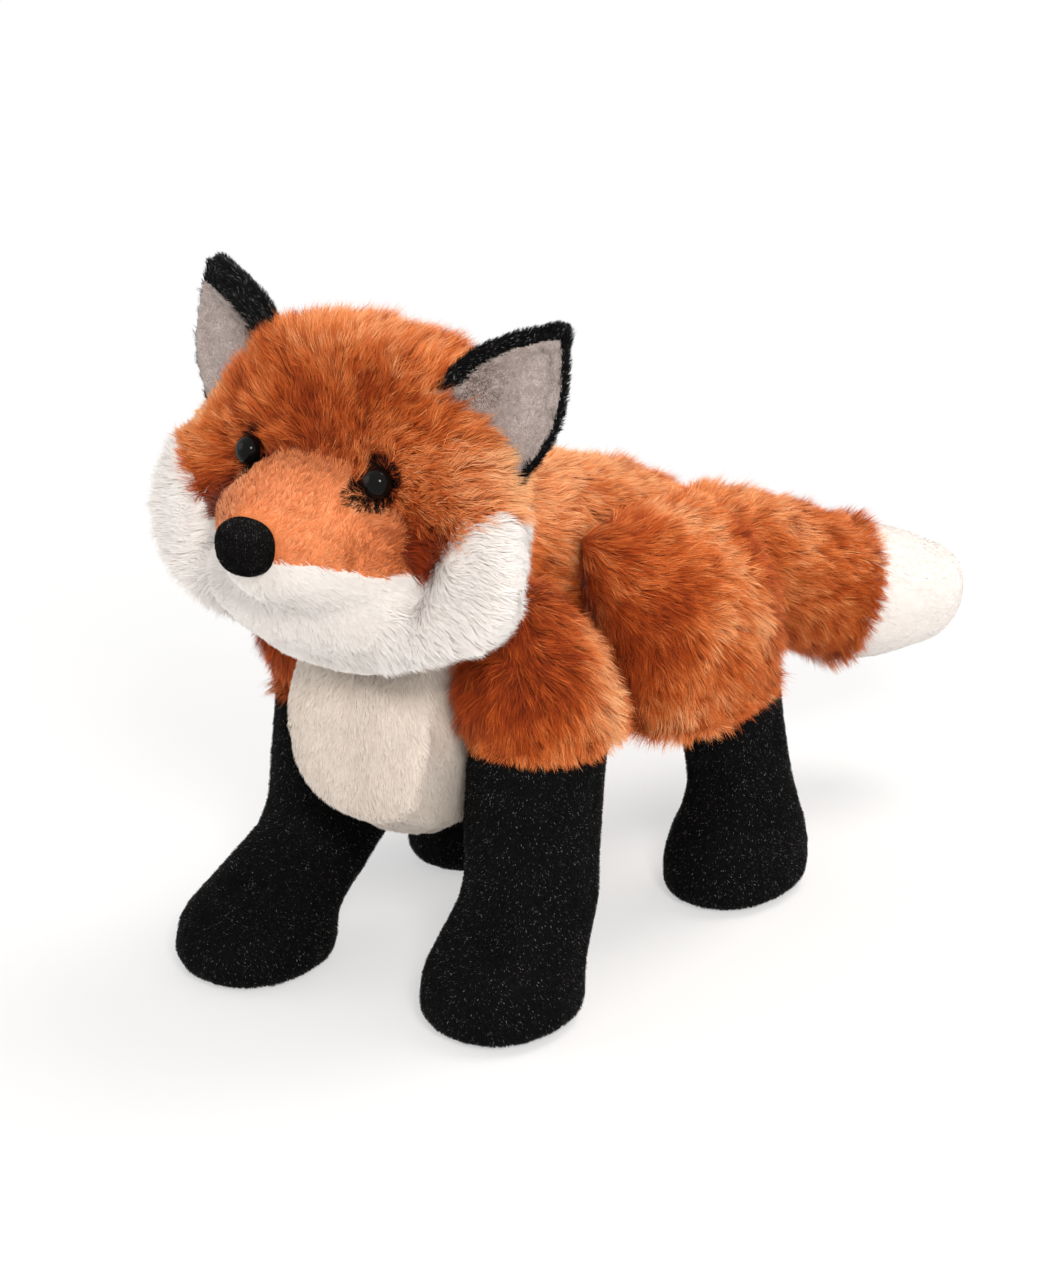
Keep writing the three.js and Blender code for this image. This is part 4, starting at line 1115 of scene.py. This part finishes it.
# Splay, turn and lean in degrees, then how wide the fur border is in mm outside and towards the crown.
EARS = {"left": (36, 17, 8, 2.8, 6.0), "right": (30, -10, 14, 0.8, 13.0)}
EAR_SPREAD, EAR_STRETCH, EAR_DEPTH = 1.07, 1.03, 5.0
EAR_HEIGHT, EAR_HALF_WIDTH, EAR_CUP = 37.0, 19.5, 3.2
EAR_OUTLINE = ((-0.34, 0.92), (0.0, 1.0), (0.3, 0.93), (0.55, 0.72), (0.78, 0.42), (0.92, 0.2), (1.0, 0.0))
EAR_VOXELS = (0.8, 8)
CROWN_GAPS = (0.3, 5.0)

# The liner's outline in mm, the facing that it needs, its cupped depths and its uneven edge. The ends
# are how far a place on the ear's foot faces down where it is hidden and where no fur stands.
TOP_BORDER, BORDER_LEVELS = 4.0, (-7, 0)
LINER_FACING, CUP_DEPTHS, LINER_EDGE = 0.15, (-1, 7), 0.3
HIDDEN_END, BARE_END = -0.5, -0.4

# The black fur: how many strands of it stand, and how far it is combed over the rim from each side.
BACK_SHARE, RIM_COMB, RIM_INNER, RIM_OUTER = 0.8, 0.45, -1.0, 0.35

# The velour's shade, with a painted shadow that darkens it towards the foot of the ear and its outer side.
LINER_SHADE, LINER_SHADOW, SHADOW_STRENGTH = 0.22, 0.75, 1.2
SHADOW_LEVELS, SHADOW_SIDES = (-26, -2), (-10, 12)


def ear_axes(name, side):
    """The ways across an ear, out of its front and up to its tip."""
    splay, turn, lean = (math.radians(value) for value in EARS[name][:3])
    turned = Quaternion((0, 0, 1), side * turn) @ Quaternion((0, 1, 0), side * splay)
    turned = turned @ Quaternion((1, 0, 0), -lean)
    return [np.array(turned @ Vector(way)) for way in ((1, 0, 0), (0, -1, 0), (0, 0, 1))]


def stretch_ear(skin, across, up):
    """Widen an ear, draw it up, and sink its foot into the pile of the crown."""
    places = coords(skin)
    tip = places[np.argmax(places @ up)]
    out, rise = (places - tip) @ across, (places - tip) @ up
    away = np.array([CROWN_TREE.find_nearest(Vector(place))[3] for place in places]) / MM
    places += np.outer(out * (EAR_SPREAD - 1), across)
    places += np.outer((rise + EAR_HEIGHT * MM) * (EAR_STRETCH - 1), up)
    places -= np.outer((1 - smoothstep(away, *CROWN_GAPS)) * EAR_DEPTH * MM, up)
    set_coords(skin, places)
    return places


def inside_liner(points, tip, axes, side, outer_border, crown_border):
    """How far inside the liner's outline each point is, in mm, negative outside it, and its place."""
    across, _, up = axes
    out = (points - tip) @ across / MM * side
    height = (points - tip) @ up / MM + EAR_HEIGHT
    levels, widths = zip(*EAR_OUTLINE)
    half = np.interp(height / EAR_HEIGHT, levels, widths) * EAR_HALF_WIDTH * EAR_SPREAD
    inner = out + half - crown_border * smoothstep(height, *BORDER_LEVELS)
    outer = half - outer_border - out
    top = EAR_HEIGHT - TOP_BORDER - height
    return np.minimum(np.minimum(inner, outer), top), out, height


def dress_ear(side, name):
    """A cupped ear: velour inside an uneven border of black fur."""
    rng = np.random.default_rng(EAR_SEED + side)
    back_node, liner_node = f"ear_back_{name}", f"ear_liner_{name}"
    axes = ear_axes(name, side)
    across, front, up = axes
    skin = soft_skin([back_node, liner_node], *EAR_VOXELS)
    ups = vertex_normals(skin)
    places = stretch_ear(skin, across, up)
    outline = (places[np.argmax(places @ up)], axes, side, *EARS[name][3:])
    inside = inside_liner(places, *outline)[0]
    faces_front = ups @ front > LINER_FACING
    dip = np.where(faces_front, smoothstep(inside, *CUP_DEPTHS), 0)
    set_coords(skin, places - front * (dip * EAR_CUP * MM)[:, None])
    on_liner = (faces_front & (inside > 0)) | (ups @ up < HIDDEN_END)
    labels = np.where(on_liner, liner_node, back_node)

    density = np.full(len(places), zone_of(back_node).density)
    spots, normals = sample_surface(skin, density, rng)
    depth, out, height = inside_liner(spots, *outline)
    depth += rng.normal(0, LINER_EDGE, len(spots))
    lined = (normals @ front > LINER_FACING) & (depth > 0)
    for node in (back_node, liner_node):
        add_skin(node, "head", cut_skin(skin, node, labels))

    furred = ~lined & (normals @ up > BARE_END) & (rng.random(len(spots)) < BACK_SHARE)
    inward = -side * np.where(out[furred] < 0, RIM_INNER, RIM_OUTER)
    edge = (normals[furred] @ front > 0)[:, None]
    flow = up[None] + np.where(edge, across[None] * inward[:, None] * RIM_COMB, 0)
    add_pile(back_node, "head", spots[furred], normals[furred], flow, rng)

    # Painted shadow on the velour, darker towards the foot of the ear and one side.
    low = smoothstep(-height[lined], *SHADOW_LEVELS)
    shadow = SHADOW_STRENGTH * low * smoothstep(-out[lined], *SHADOW_SIDES)
    flow = np.tile(up, (lined.sum(), 1))
    lighter = LINER_SHADE - LINER_SHADOW * shadow
    add_pile(liner_node, "head", spots[lined], normals[lined], flow, rng, 1, lighter)


CROWN_TREE, _ = tree_of(["crown_panel"])
for side, name in SIDES:
    dress_ear(side, name)

# Stage and light

FLOOR_RINGS, FLOOR_SIDES, FLOOR_REACH = 24, 48, 6.0
FLOOR_COLOUR, FLOOR_ROUGHNESS = (0.9, 0.9, 0.9, 1), 0.95
GLOW_REACH, GLOW = (0.1, 0.5), (0.5, 1.0)
WORLD_STRENGTHS = (0.54, 1.0)
WARM = (1.0, 0.945, 0.89)
CENTRE = (0, 0, 0.13)

# Each lamp: its place, its size and its power.
LAMPS = {
    "key": ((1.22, -1.05, 1.2), 0.45, 21.5),
    "fill": ((-1.3, -1.2, 0.8), 1.2, 6),
    "top": ((0.35, 0.6, 1.7), 0.9, 15.5),
}


def seen_directly(tree):
    """1 for the rays that see a thing directly, in a mirror or through glass."""
    paths = tree.nodes.new("ShaderNodeLightPath")
    total = paths.outputs["Is Camera Ray"]
    for name in ("Is Glossy Ray", "Is Transmission Ray"):
        total = combined(tree, "MAXIMUM", total, paths.outputs[name])
    return total


def disc_mesh():
    """A flat disc whose rings stand closer near its middle."""
    verts = [(0.0, 0.0, 0.0)]
    angles = [2 * math.pi * s / FLOOR_SIDES for s in range(FLOOR_SIDES)]
    for ring in range(1, FLOOR_RINGS + 1):
        radius = FLOOR_REACH * (ring / FLOOR_RINGS) ** 2
        verts += [(radius * math.cos(a), radius * math.sin(a), 0.0) for a in angles]
    steps = [(s, (s + 1) % FLOOR_SIDES) for s in range(FLOOR_SIDES)]
    faces = [(0, 1 + s, 1 + n) for s, n in steps]
    for ring in range(FLOOR_RINGS - 1):
        low, high = 1 + ring * FLOOR_SIDES, 1 + (ring + 1) * FLOOR_SIDES
        faces += [(low + s, high + s, high + n, low + n) for s, n in steps]
    mesh = bpy.data.meshes.new("floor")
    mesh.from_pydata(verts, [], faces)
    return mesh


def paper_material():
    """Pale paper that keeps the shadow under the fox and glows white further out."""
    material, tree, shader = new_material("floor_paper")
    shader.inputs["Base Color"].default_value = FLOOR_COLOUR
    set_surface(shader, FLOOR_ROUGHNESS, 0.0)
    where = tree.nodes.new("ShaderNodeTexCoord")
    length = tree.nodes.new("ShaderNodeVectorMath")
    length.operation = "LENGTH"
    tree.links.new(where.outputs["Object"], length.inputs[0])
    spread = map_range(tree, length.outputs["Value"], GLOW_REACH, GLOW)
    factor = combined(tree, "MULTIPLY", spread, seen_directly(tree))
    glow = tree.nodes.new("ShaderNodeEmission")
    set_inputs(glow, Strength=1.0)
    blend = tree.nodes.new("ShaderNodeMixShader")
    tree.links.new(factor, blend.inputs["Fac"])
    tree.links.new(shader.outputs["BSDF"], blend.inputs[1])
    tree.links.new(glow.outputs["Emission"], blend.inputs[2])
    tree.links.new(blend.outputs["Shader"], tree.nodes["Material Output"].inputs["Surface"])
    return material


def white_world():
    """A white world that lights the fox less than it shows."""
    world = bpy.data.worlds.new("world")
    bpy.context.scene.world = world
    world.use_nodes = True
    tree = world.node_tree
    background = tree.nodes["Background"]
    strength = map_range(tree, seen_directly(tree), (0, 1), WORLD_STRENGTHS)
    tree.links.new(strength, background.inputs["Strength"])
    set_inputs(background, Color=(1, 1, 1, 1))


def lamp(name, place, size, power):
    data = bpy.data.lights.new(name, "AREA")
    data.shape = "DISK"
    data.size = size
    data.energy = power
    data.color = WARM
    obj = link(bpy.data.objects.new(name, data))
    obj.location = place
    obj.rotation_euler = aimed(place, CENTRE)


floor = link(bpy.data.objects.new("floor", disc_mesh()))
floor.data.materials.append(paper_material())
white_world()
for name, (place, size, power) in LAMPS.items():
    lamp(name, place, size, power)

bpy.context.scene.view_settings.view_transform = "Standard"
